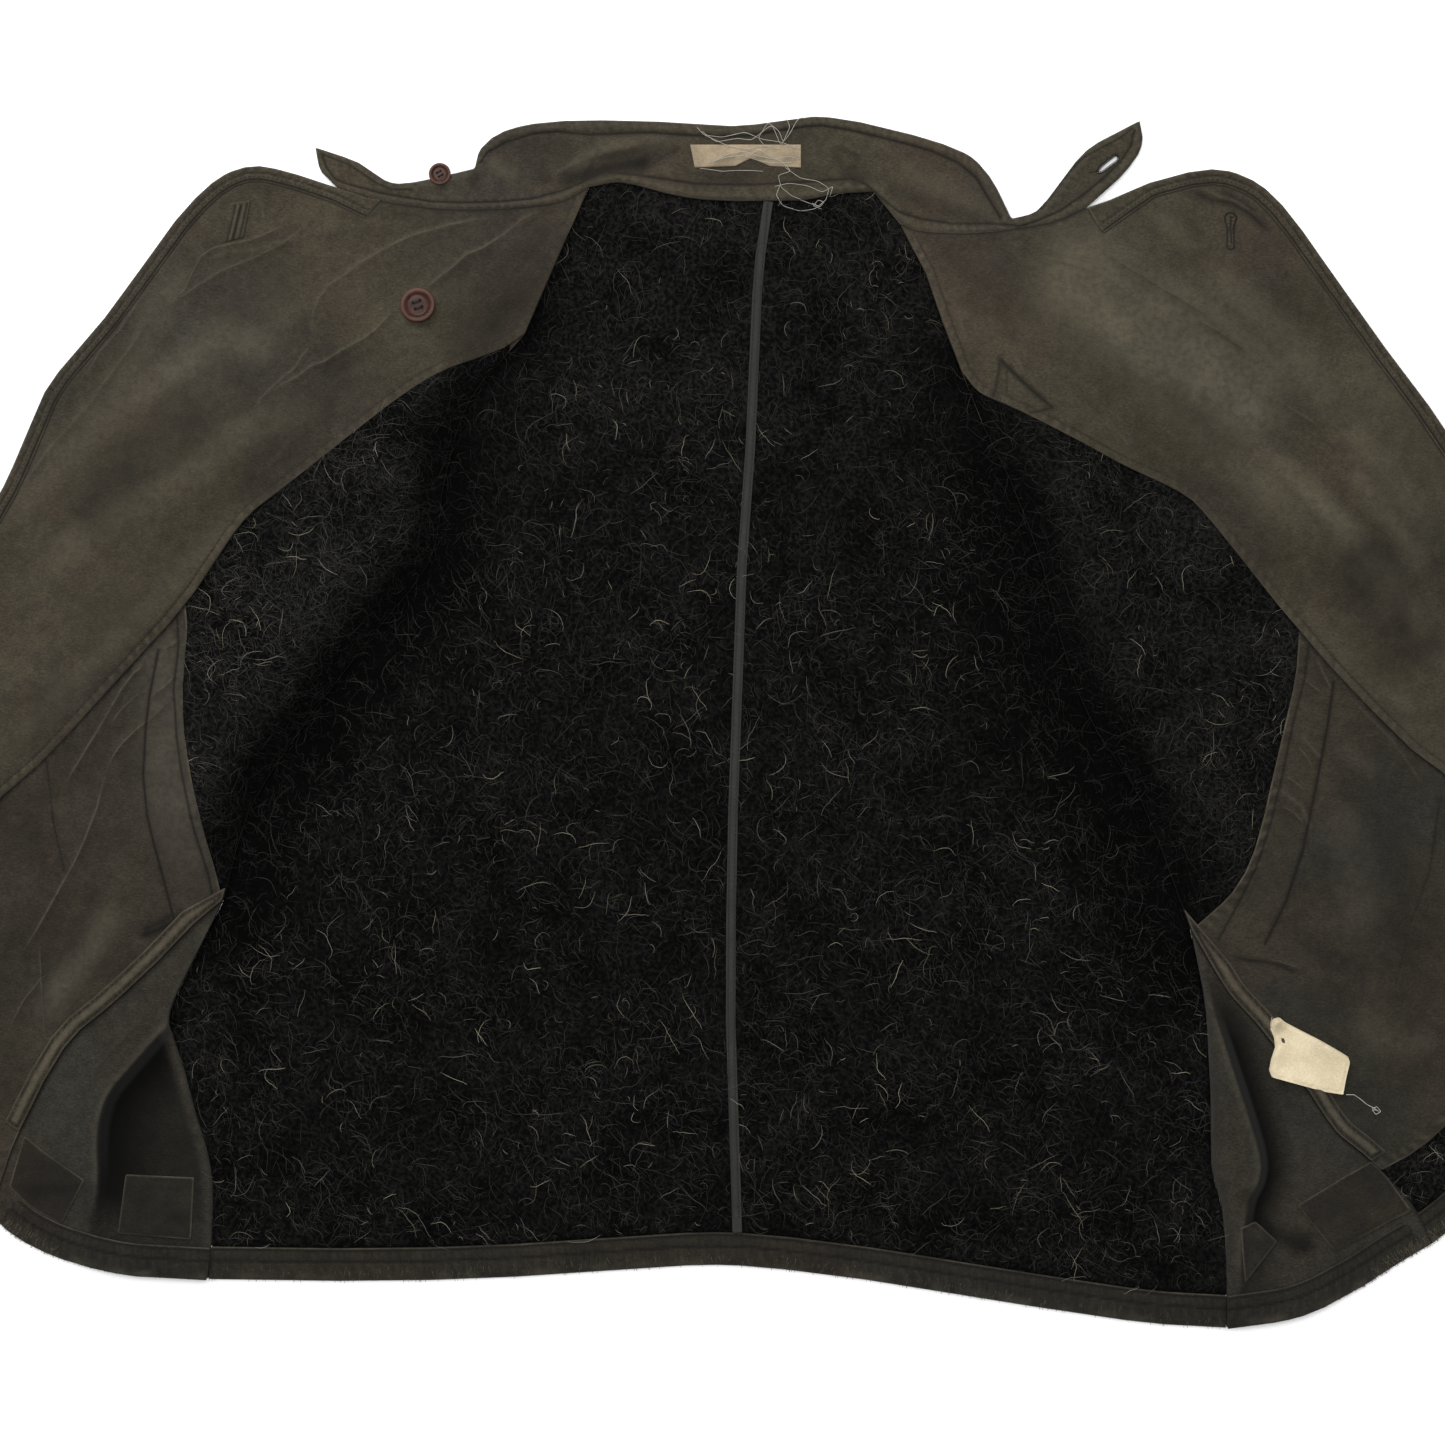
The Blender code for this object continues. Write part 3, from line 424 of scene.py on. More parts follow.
def lay(name, node, base, thickness, paint, pitch=3 * MM, guides=(), relief=no_relief, under=9 * MM, holes=(), sewn_down=None):
    """Lays a piece of cloth in place of a CAD wall. base gives the height of its under side.
    Along the line where it is sewn down, its rim reaches the table, as cloth does that rises from a seam."""
    ring = rims[node]
    rim, places = sown(ring, pitch, guides, (0.5 * MM, 1.3 * MM))
    for hole in holes:
        places = places[outside(hole, places) > 0.5 * MM]
    at, faces, borders = joined_up(rim, places, holes)
    inset = from_line(closed(ring), at)[0]
    rise, worn, sunk = relief(at, inset)
    give = 0.85 * thickness
    rise = np.where(rise < 0, -give * (1 - np.exp(np.minimum(rise, 0) / give)), rise)
    crown = thickness * np.sqrt(np.clip(1 - (1 - np.clip(inset / (0.9 * thickness), 0, 1)) ** 2, 0, 1))
    top = base(at) + np.maximum(0.42 * thickness, crown) + rise * ease(inset / (1.5 * MM))
    for hole in holes:
        top -= 0.4 * thickness * ease(1 - outside(hole, at) / (1.0 * MM))
    below = sown(ring, under, (), (2.5 * MM,))[1] if under else places
    for hole in holes:
        below = below[outside(hole, below) > 0.5 * MM]
    low_at, low_faces, low_borders = joined_up(rim, below, holes)
    at_rim = from_line(closed(ring), low_at)[0] < 0.1 * MM
    low = base(low_at) + np.where(at_rim, 0.3 * thickness, 0)
    if sewn_down is not None:
        low[at_rim & (from_line(sewn_down, low_at)[0] < 3 * MM)] = 0
    count = len(at)
    points = np.vstack([np.column_stack([at, top]), np.column_stack([low_at, np.maximum(low, 0)])])
    walls = [
        (up[i - 1], down[i - 1] + count, down[i] + count, up[i])
        for up, down in zip(borders, low_borders)
        for i in range(len(up))
    ]
    below = [tuple(v + count for v in face[::-1]) for face in low_faces]
    spare = np.zeros(len(low_at))
    piece = put(
        name, points, [tuple(f) for f in faces] + below + walls, paint,
        worn=np.concatenate([worn, spare]), sunk=np.concatenate([sunk, spare]),
    )
    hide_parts(node)
    return piece

# %% [markdown]
# ## Sunk rows, creases and puckers
# A row of stitches pulls the layers together, so the cloth sinks along it and swells beside it.
# A crease is a soft ridge that stands up and is rubbed paler than its surroundings, with painted shadow on its lee;
# broad marks paint light on lit slopes and shade in hollows.
# Both are the same thing to us: a line with a height, a width, how worn and lit, and how dark with dye and painted
# shade it is.

# %% Press rows and creases into the cloth
# Where a crease's painted shadow lies, towards the lower right of its crest.
LEE = np.array([0.9, -2.1]) * MM


def pressed(at, marks, tapered):
    """The rise, the wear and painted light, and the dark dye and painted shade that lines leave. A mark is (line,
    height, half width, worn and lit, dye and shade), in mm.
    """
    rise, worn, sunk = (np.zeros(len(at)) for _ in range(3))
    for line, height, half, fade_and_light, dark_dye_and_shade in marks:
        away, share = from_line(line, at)
        form = crest = swell(away / (half * MM))
        if tapered:
            fading = ease(share / 0.18) * ease((1 - share) / 0.18) * (0.8 + 0.2 * rumple(at, 12 * MM, 9))
            sharp = 0.3 if half < 5 else 0.8
            crest = swell(away / (sharp * half * MM)) * fading
            form = 0.65 * form * fading + 0.35 * crest
            # Painted shadow: a dark band on the lee of each narrow crease, and a broader painted shade further down its
            # slope.
            if fade_and_light > 0 and half < 5:
                lee_shadow = swell(from_line(line + LEE, at)[0] / (0.9 * half * MM)) * fading
                slope_shadow = swell(from_line(line + 3.5 * LEE, at)[0] / (3.0 * half * MM)) * fading
                sunk = np.maximum(sunk, fade_and_light * np.maximum(lee_shadow, 0.55 * slope_shadow))
        rise += height * MM * form
        # The pale crest is rubbed wear; on broad marks it is painted light.
        worn = np.maximum(worn, min(1.0, 1.4 * fade_and_light if tapered else fade_and_light) * crest)
        sunk = np.maximum(sunk, dark_dye_and_shade * form)
    return rise, worn, sunk


def together(*effects):
    """Several effects at once: rises add up, and the strongest wear and light and the strongest dye and shade win."""
    rise = sum(effect[0] for effect in effects)
    return rise, np.max([effect[1] for effect in effects], 0), np.max([effect[2] for effect in effects], 0)


def puckered(at, line, inner, outer, pitch, height, seed, slant=0.5):
    """Small uneven waves across a strip beside a seam, where the stitches have drawn it up."""
    away, share = from_line(line, at)
    run = share * float(np.sum(np.hypot(*np.diff(line, axis=0).T)))
    phase = run / pitch + slant * away / pitch + 0.9 * rumple(at, 3.2 * pitch, seed)
    middle, half = (inner + outer) / 2, (outer - inner) / 2
    window = ease((half + 1.2 * MM - np.abs(away - middle)) / (1.6 * MM))
    wave = np.sin(2 * np.pi * phase) * window * (0.55 + 0.45 * rumple(at, 2.3 * pitch, seed + 1))
    mark = min(1.0, height / (0.25 * MM))
    return height * wave, 0.35 * mark * np.clip(wave, 0, 1), 0.30 * mark * np.clip(-wave, 0, 1)


def worn_edge(at, inset, strength, seed, reach=1.5 * MM):
    """The rubbed rim of a piece, in patches."""
    patches = 0.55 + 0.45 * rumple(at, 14 * MM, seed)
    return np.zeros(len(at)), strength * patches * np.clip(1 - inset / reach, 0, 1), np.zeros(len(at))


def waves(at, size, height, seed, turn=0.0, long=1.0):
    """Gentle unevenness over a whole panel."""
    form = rumple(at, size, seed, turn, long)
    return height * form, np.zeros(len(at)), np.zeros(len(at))


surfaces = {}


def remember(node, base, thickness, relief):
    """Keeps the finished upper side of a piece, so that hair, stitches and buttonhole bindings can be set on it."""
    ring = rims[node]
    surfaces[node] = lambda at: base(at) + thickness + relief(at, from_line(closed(ring), at)[0])[0]


# %% [markdown]
# ## Paint
# Faded cotton is never one colour. Broad clouds of olive, brown and grey lie under a fine grain, crests are
# rubbed pale, and seams keep the old dark dye. Painted light pales some lit slopes, and painted shade darkens
# the lee of creases, the valleys, the gusset pockets and the cloth under raised edges. All of it is noise in the
# cloth's own coordinates, so it stays put from every side. The marks stored on the points decide where wear
# and painted light, dark dye and painted shade show.

# %% Small helpers for paint
def add(tree, kind, **values):
    made = tree.nodes.new("ShaderNode" + kind)
    for name, value in values.items():
        if hasattr(made, name):
            setattr(made, name, value)
            continue
        socket = made.inputs[name.replace("_", " ").title()]
        if isinstance(value, bpy.types.NodeSocket):
            tree.links.new(value, socket)
        else:
            socket.default_value = value
    return made


def noise(tree, scale, detail=2.0, squeeze=None, turn=0.0):
    """Noise in the jacket's own coordinates, finer across than along when squeezed."""
    where = add(tree, "TexCoord").outputs["Object"]
    if squeeze:
        where = add(tree, "Mapping", Vector=where, Scale=squeeze, Rotation=(0.0, 0.0, math.radians(turn))).outputs[0]
    return add(tree, "TexNoise", Vector=where, Scale=scale, Detail=detail).outputs["Fac"]


def blend(tree, share, one, other, way="MIX"):
    made = tree.nodes.new("ShaderNodeMix")
    made.data_type = "RGBA"
    made.blend_type = way
    for index, value in ((0, share), (6, one), (7, other)):
        if isinstance(value, bpy.types.NodeSocket):
            tree.links.new(value, made.inputs[index])
        else:
            made.inputs[index].default_value = value if index == 0 else (*value, 1.0)
    return made.outputs[2]


def sharpen(tree, value, low, high, to_low=0.0, to_high=1.0):
    made = add(tree, "MapRange", Value=value)
    for name, number in (("From Min", low), ("From Max", high), ("To Min", to_low), ("To Max", to_high)):
        made.inputs[name].default_value = number
    return made.outputs[0]


def mark(tree, name):
    return add(tree, "Attribute", attribute_name=name).outputs["Fac"]


def times(tree, one, other):
    made = tree.nodes.new("ShaderNodeMath")
    made.operation = "MULTIPLY"
    for index, value in enumerate((one, other)):
        if isinstance(value, bpy.types.NodeSocket):
            tree.links.new(value, made.inputs[index])
        else:
            made.inputs[index].default_value = value
    return made.outputs[0]


def raised_by(tree, height, depth, strength=1.0, below=None):
    made = add(tree, "Bump", Height=height)
    made.inputs["Distance"].default_value = depth
    made.inputs["Strength"].default_value = strength
    if below:
        tree.links.new(below, made.inputs["Normal"])
    return made.outputs[0]


def paint(name, roughness, sheen=0.0, gloss=0.25):
    made = bpy.data.materials.new(name)
    made.use_nodes = True
    shader = made.node_tree.nodes["Principled BSDF"]
    shader.inputs["Roughness"].default_value = roughness
    shader.inputs["Specular IOR Level"].default_value = gloss
    if sheen:
        shader.inputs["Sheen Weight"].default_value = sheen
        shader.inputs["Sheen Roughness"].default_value = 0.6
    return made, made.node_tree, shader


# %% Faded cotton twill
def twill(name, olive, brown, grey, dark, pale, clouds=1.0, ribs=0.0):
    """Cotton that has been washed and worn: clouds of three colours, grain, pale crests from wear and painted light,
    and dark seams and hollows from old dye and painted shade.
    """
    made, tree, shader = paint(name, 0.9, sheen=0.04, gloss=0.12)
    colour = blend(tree, sharpen(tree, noise(tree, 11, 3), 0.40, 0.64), olive, brown)
    colour = blend(tree, times(tree, sharpen(tree, noise(tree, 7, 4), 0.48, 0.70), 0.8 * clouds), colour, grey)
    shade = sharpen(tree, noise(tree, 24, 5), 0.3, 0.7, 1 - 0.20 * clouds, 1 + 0.14 * clouds)
    colour = blend(tree, 1.0, colour, shade, "MULTIPLY")
    mottled = sharpen(tree, noise(tree, 140, 5), 0.3, 0.7, 0.82, 1.18)
    colour = blend(tree, 1.0, colour, mottled, "MULTIPLY")
    grain = noise(tree, 1.0, 3, (430, 1150, 900), 28)
    colour = blend(tree, 1.0, colour, sharpen(tree, grain, 0.3, 0.7, 0.72, 1.28), "MULTIPLY")
    fuzz = noise(tree, 800, 3)
    colour = blend(tree, 1.0, colour, sharpen(tree, fuzz, 0.3, 0.7, 0.80, 1.20), "MULTIPLY")
    if ribs:
        rib = noise(tree, 1.0, 2, (1100, 60, 200))
        colour = blend(tree, 1.0, colour, sharpen(tree, rib, 0.35, 0.65, 1 - ribs, 1 + ribs), "MULTIPLY")
    patchy = sharpen(tree, noise(tree, 260, 3), 0.35, 0.62, 0.55, 1.0)
    # Pale: rubbed wear, and painted light where the marks paint lit slopes.
    colour = blend(tree, times(tree, mark(tree, "worn"), patchy), colour, pale)
    # Dark: old dye in seams, and painted shade in lees, valleys, pockets and under raised edges.
    colour = blend(tree, mark(tree, "sunk"), colour, dark)
    tree.links.new(colour, shader.inputs["Base Color"])
    soft = raised_by(tree, noise(tree, 75, 4), 0.9 * MM, 0.5)
    tree.links.new(raised_by(tree, grain, 0.22 * MM, 0.7, soft), shader.inputs["Normal"])
    return made


cotton = twill("faded_olive_cotton", (0.031, 0.0265, 0.0165), (0.033, 0.0250, 0.0170), (0.020, 0.0185, 0.0145), (0.0045, 0.004, 0.003), (0.095, 0.082, 0.057))
edge_cotton = twill("edge_cotton", (0.0115, 0.0100, 0.0066), (0.0125, 0.0100, 0.0068), (0.0090, 0.0084, 0.0066), (0.0016, 0.0014, 0.0012), (0.085, 0.075, 0.054), 1.2, 0.16)
patch_cotton = twill("patch_cotton", (0.0205, 0.0175, 0.0112), (0.0235, 0.0182, 0.0122), (0.0140, 0.0130, 0.0102), (0.0024, 0.002, 0.0017), (0.095, 0.082, 0.060), 1.3)
# The gusset's near-black dark colour is the painted shadow of its pocket.
gusset_cotton = twill("gusset_cotton", (0.0205, 0.0186, 0.0145), (0.0225, 0.0190, 0.0142), (0.0178, 0.0168, 0.0144), (0.0006, 0.0006, 0.0005), (0.07, 0.062, 0.047), 0.6)
gusset_cotton.node_tree.nodes["Principled BSDF"].inputs["Specular IOR Level"].default_value = 0.04
print("cotton paints:", [made.name for made in (cotton, edge_cotton, patch_cotton, gusset_cotton)])

# %% Black blanket wool
wool, tree, shader = paint("black_blanket_wool", 1.0, gloss=0.03)
nap = noise(tree, 420, 4)
colour = blend(tree, sharpen(tree, nap, 0.42, 0.72), (0.0016, 0.0016, 0.0016), (0.0085, 0.0083, 0.0078))
colour = blend(tree, 1.0, colour, sharpen(tree, noise(tree, 30, 4), 0.32, 0.68, 0.55, 1.5), "MULTIPLY")
# Painted shade: the wool goes near black in the valleys and the hollows of the old folds.
colour = blend(tree, mark(tree, "sunk"), colour, (0.0008, 0.0008, 0.0008))
tree.links.new(colour, shader.inputs["Base Color"])
tree.links.new(raised_by(tree, nap, 1.2 * MM, 0.8), shader.inputs["Normal"])

# %% Pale kemp hair, tape, thread, labels and button
kemp, tree, shader = paint("pale_kemp_hair", 0.6, gloss=0.3)
colour = blend(tree, sharpen(tree, mark(tree, "pale"), 0.0, 0.55), (0.0035, 0.0034, 0.0032), (0.042, 0.040, 0.034))
colour = blend(tree, sharpen(tree, mark(tree, "pale"), 0.55, 1.0), colour, (0.27, 0.245, 0.175))
tree.links.new(colour, shader.inputs["Base Color"])


def plain_weave(name, base, other, threads, roughness=0.9, depth=0.2 * MM):
    """A fine plain weave: long grain one way, crossed by grain the other way, with a soiled cloud over it."""
    made, tree, shader = paint(name, roughness)
    across = noise(tree, 1.0, 2, (threads, threads * 0.22, threads), 4)
    down = noise(tree, 1.0, 2, (threads * 0.22, threads, threads), 4)
    grain = blend(tree, 0.5, across, down)
    colour = blend(tree, sharpen(tree, noise(tree, 60, 4), 0.38, 0.62), base, other)
    colour = blend(tree, 1.0, colour, sharpen(tree, grain, 0.35, 0.65, 0.85, 1.15), "MULTIPLY")
    colour = blend(tree, mark(tree, "worn"), colour, tuple(min(1.0, 1.5 * c) for c in base))
    colour = blend(tree, mark(tree, "sunk"), colour, tuple(0.35 * c for c in base))
    tree.links.new(colour, shader.inputs["Base Color"])
    tree.links.new(raised_by(tree, grain, depth, 0.6), shader.inputs["Normal"])
    return made


tape_cloth = plain_weave("grey_seam_tape", (0.021, 0.022, 0.0195), (0.017, 0.0175, 0.016), 1400)
neck_label_cloth = plain_weave("frayed_tan_label", (0.26, 0.205, 0.135), (0.19, 0.15, 0.10), 1600)
care_label_cloth = plain_weave("cream_care_label", (0.56, 0.485, 0.335), (0.47, 0.40, 0.265), 2400, 0.8, 0.1 * MM)
dark_thread = plain_weave("dark_sewing_thread", (0.0075, 0.0068, 0.0055), (0.014, 0.0125, 0.010), 2600)
pale_thread = plain_weave("pale_loose_thread", (0.36, 0.35, 0.31), (0.28, 0.27, 0.24), 2600)

wine, tree, shader = paint("wine_brown_button", 0.36, gloss=0.14)
clouds = noise(tree, 170, 5)
colour = blend(tree, sharpen(tree, clouds, 0.36, 0.66), (0.016, 0.0052, 0.0036), (0.040, 0.0150, 0.0095))
# Painted highlight: a pale ring on the top of the rim.
colour = blend(tree, mark(tree, "worn"), colour, (0.130, 0.064, 0.043))
# Painted shade: the bottom of the dish round the holes.
colour = blend(tree, mark(tree, "sunk"), colour, (0.006, 0.003, 0.003))
tree.links.new(colour, shader.inputs["Base Color"])
print("paints made:", len(bpy.data.materials))

# %% [markdown]
# ## The back
# The back is two halves of black wool on a whole back of cotton, with a tape over the centre seam.
# The wool could be one smooth sheet, but real blanket cloth is lumpy, so each half is laid with a fine
# unevenness and the faint old folds that run down it. The cotton under it hardly shows and stays plain.

# %% Shell of the back
def flat_on_table(at):
    return np.zeros(len(at))


lay("back_shell_cloth", "back_shell", flat_on_table, TWILL, cotton, 12 * MM, under=20 * MM)

# %% The two wool halves of the back
# The negative marks are fold hollows, darkened with painted shade; the others are soft ridges.
OLD_FOLDS = [
    (spots("478,590 486,700 489,800 492,905"), -1.2, 6, 0, 0.5),
    (spots("500,600 506,720 508,850"), 1.0, 8, 0.2, 0),
    (spots("384,930 352,990 330,1050 305,1120 280,1200"), -1.6, 7, 0, 0.5),
    (spots("404,940 372,1010 346,1080 322,1150"), 1.2, 9, 0.2, 0),
    (spots("700,563 780,560 860,564 930,572 985,578"), -0.9, 4, 0, 0.6),
    (spots("1010,760 1040,830 1075,900 1110,960"), -1.3, 8, 0, 0.5),
    (spots("1150,1010 1165,1090 1172,1180"), -1.2, 8, 0, 0.4),
]


def showing(at, covers):
    """1 where no other piece covers a place, and 0 from a few millimetres under a cover's edge."""
    seen = np.ones(len(at))
    for cover in covers:
        ring = rims[cover]
        seen = np.where(within(ring, at), np.minimum(seen, 1 - ease(from_line(closed(ring), at)[0] / (5 * MM))), seen)
    return seen


def wool_lumps(at, inset):
    fine = waves(at, 5 * MM, 0.28 * MM, 11)
    valley = np.minimum(from_line(valleys["left"], at)[0], 0.7 * from_line(valleys["right"], at)[0])
    shade = 0.75 * ease(1 - valley / (60 * MM)) + 0.35 * ease((0.22 - at[:, 1]) / 0.12)
    dim = (np.zeros(len(at)), np.zeros(len(at)), np.clip(shade, 0, 0.9))
    return together(fine, dim, waves(at, 26 * MM, 0.5 * MM, 12), pressed(at, OLD_FOLDS, True))


for side in SIDES:
    lay("back_wool_cloth_" + side, "back_wool_" + side, back_base, WOOL, wool, 3.4 * MM,
        relief=wool_lumps, under=16 * MM)
remember("back_wool_left", back_base, WOOL, wool_lumps)
remember("back_wool_right", back_base, WOOL, wool_lumps)

# %% [markdown]
# ## The centre tape
# A narrow grey tape covers the centre seam. It is folded under along one side and sewn close to both
# edges, so it has two raised rims and a shallow groove just inside each.

# %% Tape over the centre seam
centre = spots("765,203 759,271 754,367 749,463 743,542 742,570 737,700 732,850 731,1000 732,1083 736,1218")


def tape_rows(at, inset):
    rows = pressed(at, [(beside(centre, s * 1.9 * MM), -0.5, 0.7, 0, 0.6) for s in (-1, 1)], False)
    return together(rows, worn_edge(at, inset, 0.55, 21), waves(at, 4 * MM, 0.12 * MM, 22))


lay("centre_back_tape_cloth", "centre_back_tape", lambda at: back_base(at) + WOOL_LAYER, 0.9 * MM, tape_cloth,
    1.5 * MM, guides=[(centre, 1.9 * MM)], relief=tape_rows)

# %% [markdown]
# ## The gussets
# Below each armhole a plain unlined gusset joins front and back. Laid flat it has cloth to spare,
# which stands up in one long fold. We draw the fold's top as a line, and let the cloth fall gently
# towards the front and steeply towards the back, where a dark pocket forms. Its shadow is painted into the cloth.

# %% Where the gusset folds
fold_tops = {
    "left": spots("223,900 214,919 205,955 185,1000 165,1027 130,1066 108,1092 99,1120 97,1150 98,1175 93,1205 84,1245"),
    "right": spots("1191,930 1200,964 1209,1005 1221,1040 1234,1080 1248,1122 1259,1160 1257,1180 1247,1197 1244,1216 1241,1240 1240,1300"),
}
gusset_backs = {
    "left": stretch(rims["side_gusset_left"], *spots("223,900 208,1278 172,1040")),
    "right": stretch(rims["side_gusset_right"], *spots("1191,930 1227,1326 1210,1100")),
}
# Fold hollows darkened with painted shade, and one rubbed ridge.
GUSSET_CREASES = {
    "left": [
        (spots("110,1180 104,1205 98,1235"), -1.2, 9, 0, 0.75),
        (spots("150,1010 120,1040 90,1075"), 0.8, 3.0, 0.15, 0),
    ],
    "right": [
        (spots("1256,1180 1253,1200 1257,1218 1272,1233 1296,1243 1326,1250"), -1.6, 7, 0, 0.85),
        (spots("1268,1120 1276,1150 1278,1185"), -1.0, 10, 0, 0.35),
    ],
}


def rounded(line, times=2):
    """Cuts the corners of a line, twice over, so that it bends softly."""
    for _ in range(times):
        cut = np.stack([0.75 * line[:-1] + 0.25 * line[1:], 0.25 * line[:-1] + 0.75 * line[1:]], 1).reshape(-1, 2)
        line = np.vstack([line[:1], cut, line[-1:]])
    return line


fold_tops = {side: rounded(line) for side, line in fold_tops.items()}


def past(line, at):
    """Distance from a line that runs down the picture: positive on its right, negative on its left."""
    line = evenly(line, 3 * MM)
    middles = (line[1:] + line[:-1]) / 2
    nearest = np.argmin(np.hypot(*(at[:, None] - middles[None]).transpose(2, 0, 1)), axis=1)
    run, off = (line[1:] - line[:-1])[nearest], at - line[:-1][nearest]
    return from_line(line, at)[0] * np.sign(run[:, 0] * off[:, 1] - run[:, 1] * off[:, 0])


def gusset_base(side, at):
    away, share = past(fold_tops[side], at), from_line(fold_tops[side], at)[1]
    tall = 13 * MM * ease(share / 0.12) * ease((1 - share) / 0.35)
    lit = 1 - 0.5 * ease(-away / (60 * MM))
    if side == "right":
        lit = np.sqrt(1 - (1 - np.clip(from_line(gusset_backs[side], at)[0] / (11 * MM), 0, 1)) ** 2)
    steep = np.where(away < 0, 1, 1 - ease(away / (8 * MM)))
    sewn = front_base(side, at) + LAYER + 0.5 * WOOL_LAYER
    near_front = ease(1 - from_line(closed(rims["front_shell_" + side]), at)[0] / (22 * MM))
    if side == "left":
        return toward(tall * lit, sewn, near_front) * steep
    return toward(tall * np.where(away < 0, lit, steep), sewn, near_front)


def gusset_relief(side):
    def relief(at, inset):
        away, share = past(fold_tops[side], at), from_line(fold_tops[side], at)[1]
        low = ease((from_line(hems[side], at)[0] - 22 * MM) / (30 * MM))
        near_back = from_line(gusset_backs[side], at)[0]
        foot = ease((away + 0.6 * MM) / (3.2 * MM))
        if side == "left":
            rim = 3.4 * MM * swell(near_back / (9 * MM)) * low * foot
            shadow = foot * (0.96 - 0.34 * ease((away - 10 * MM) / (38 * MM))) * ease((near_back - 1.5 * MM) / (8 * MM))
            shadow *= ease(share / 0.1) * (0.5 + 0.5 * low)
        else:
            rim = np.zeros(len(at))
            shadow = foot * (1 - ease((away - 6 * MM) / (23 * MM))) * ease((share - 0.04) / 0.3) * (0.45 + 0.5 * low)
        # Painted highlight along the top of the fold.
        crest = 0.30 * swell(np.abs(away) / (2.6 * MM)) * ease(share / 0.2) * low
        # Painted shadow: a dark line along the seam, under the raised seam strip.
        seam = from_line(closed(rims["front_shell_" + side]), at)[0]
        seam_shadow = 0.8 * ease(1 - seam / (2.2 * MM))
        return together(
            (rim, crest * (1 - foot), np.maximum(shadow, seam_shadow)),
            pressed(at, GUSSET_CREASES[side], True),
            waves(at, 22 * MM, 0.7 * MM, 31, 60, 2.0),
            worn_edge(at, inset, 0.35, 32),
        )

    return relief


for side in SIDES:
    base = lambda at, side=side: gusset_base(side, at)
    lay("gusset_cloth_" + side, "side_gusset_" + side, base, TWILL, gusset_cotton, 2.1 * MM,
        guides=[(fold_tops[side], 3 * MM), (beside(fold_tops[side], 6.5 * MM), 2 * MM)],
        relief=gusset_relief(side), under=None,
        sewn_down=closed(rims["side_gusset_" + side]))
    remember("side_gusset_" + side, base, TWILL, gusset_relief(side))

# %% [markdown]
# ## The fronts
# Each front is cotton outside and wool inside. Only the wool shows between the facing and the valley.
# It takes the same lumps as the back, and stands a little higher on the crest of the roll.

# %% Shell and wool of the fronts
def front_wool_base(side, at):
    return front_base(side, at) + LAYER


def front_lumps(side):
    def relief(at, inset):
        rise, worn, sunk = together(waves(at, 5 * MM, 0.28 * MM, 13), waves(at, 24 * MM, 0.6 * MM, 14))
        seen = showing(at, ("facing_" + side, "pocket_patch_" + side, "side_seam_" + side))
        shade = 0.8 * ease(1 - from_line(valleys[side], at)[0] / (40 * MM))
        return rise * seen - 0.5 * MM * (1 - seen), worn, np.maximum(sunk, shade)

    return relief


for side in SIDES:
    lay("front_shell_cloth_" + side, "front_shell_" + side, lambda at, side=side: front_base(side, at), TWILL, cotton,
        8 * MM, under=14 * MM)
    base = lambda at, side=side: front_wool_base(side, at)
    lay("front_wool_cloth_" + side, "front_wool_" + side, base, WOOL, wool, 3.2 * MM,
        relief=front_lumps(side), under=16 * MM)
    remember("front_wool_" + side, base, WOOL, front_lumps(side))

# %% [markdown]
# ## Inner pocket patches
# A cotton patch backs each lower pocket. Its free edge is turned under and sewn with two rows, and the
# rows that hold the pocket outside show through as a dark line. Creases run down and outwards.

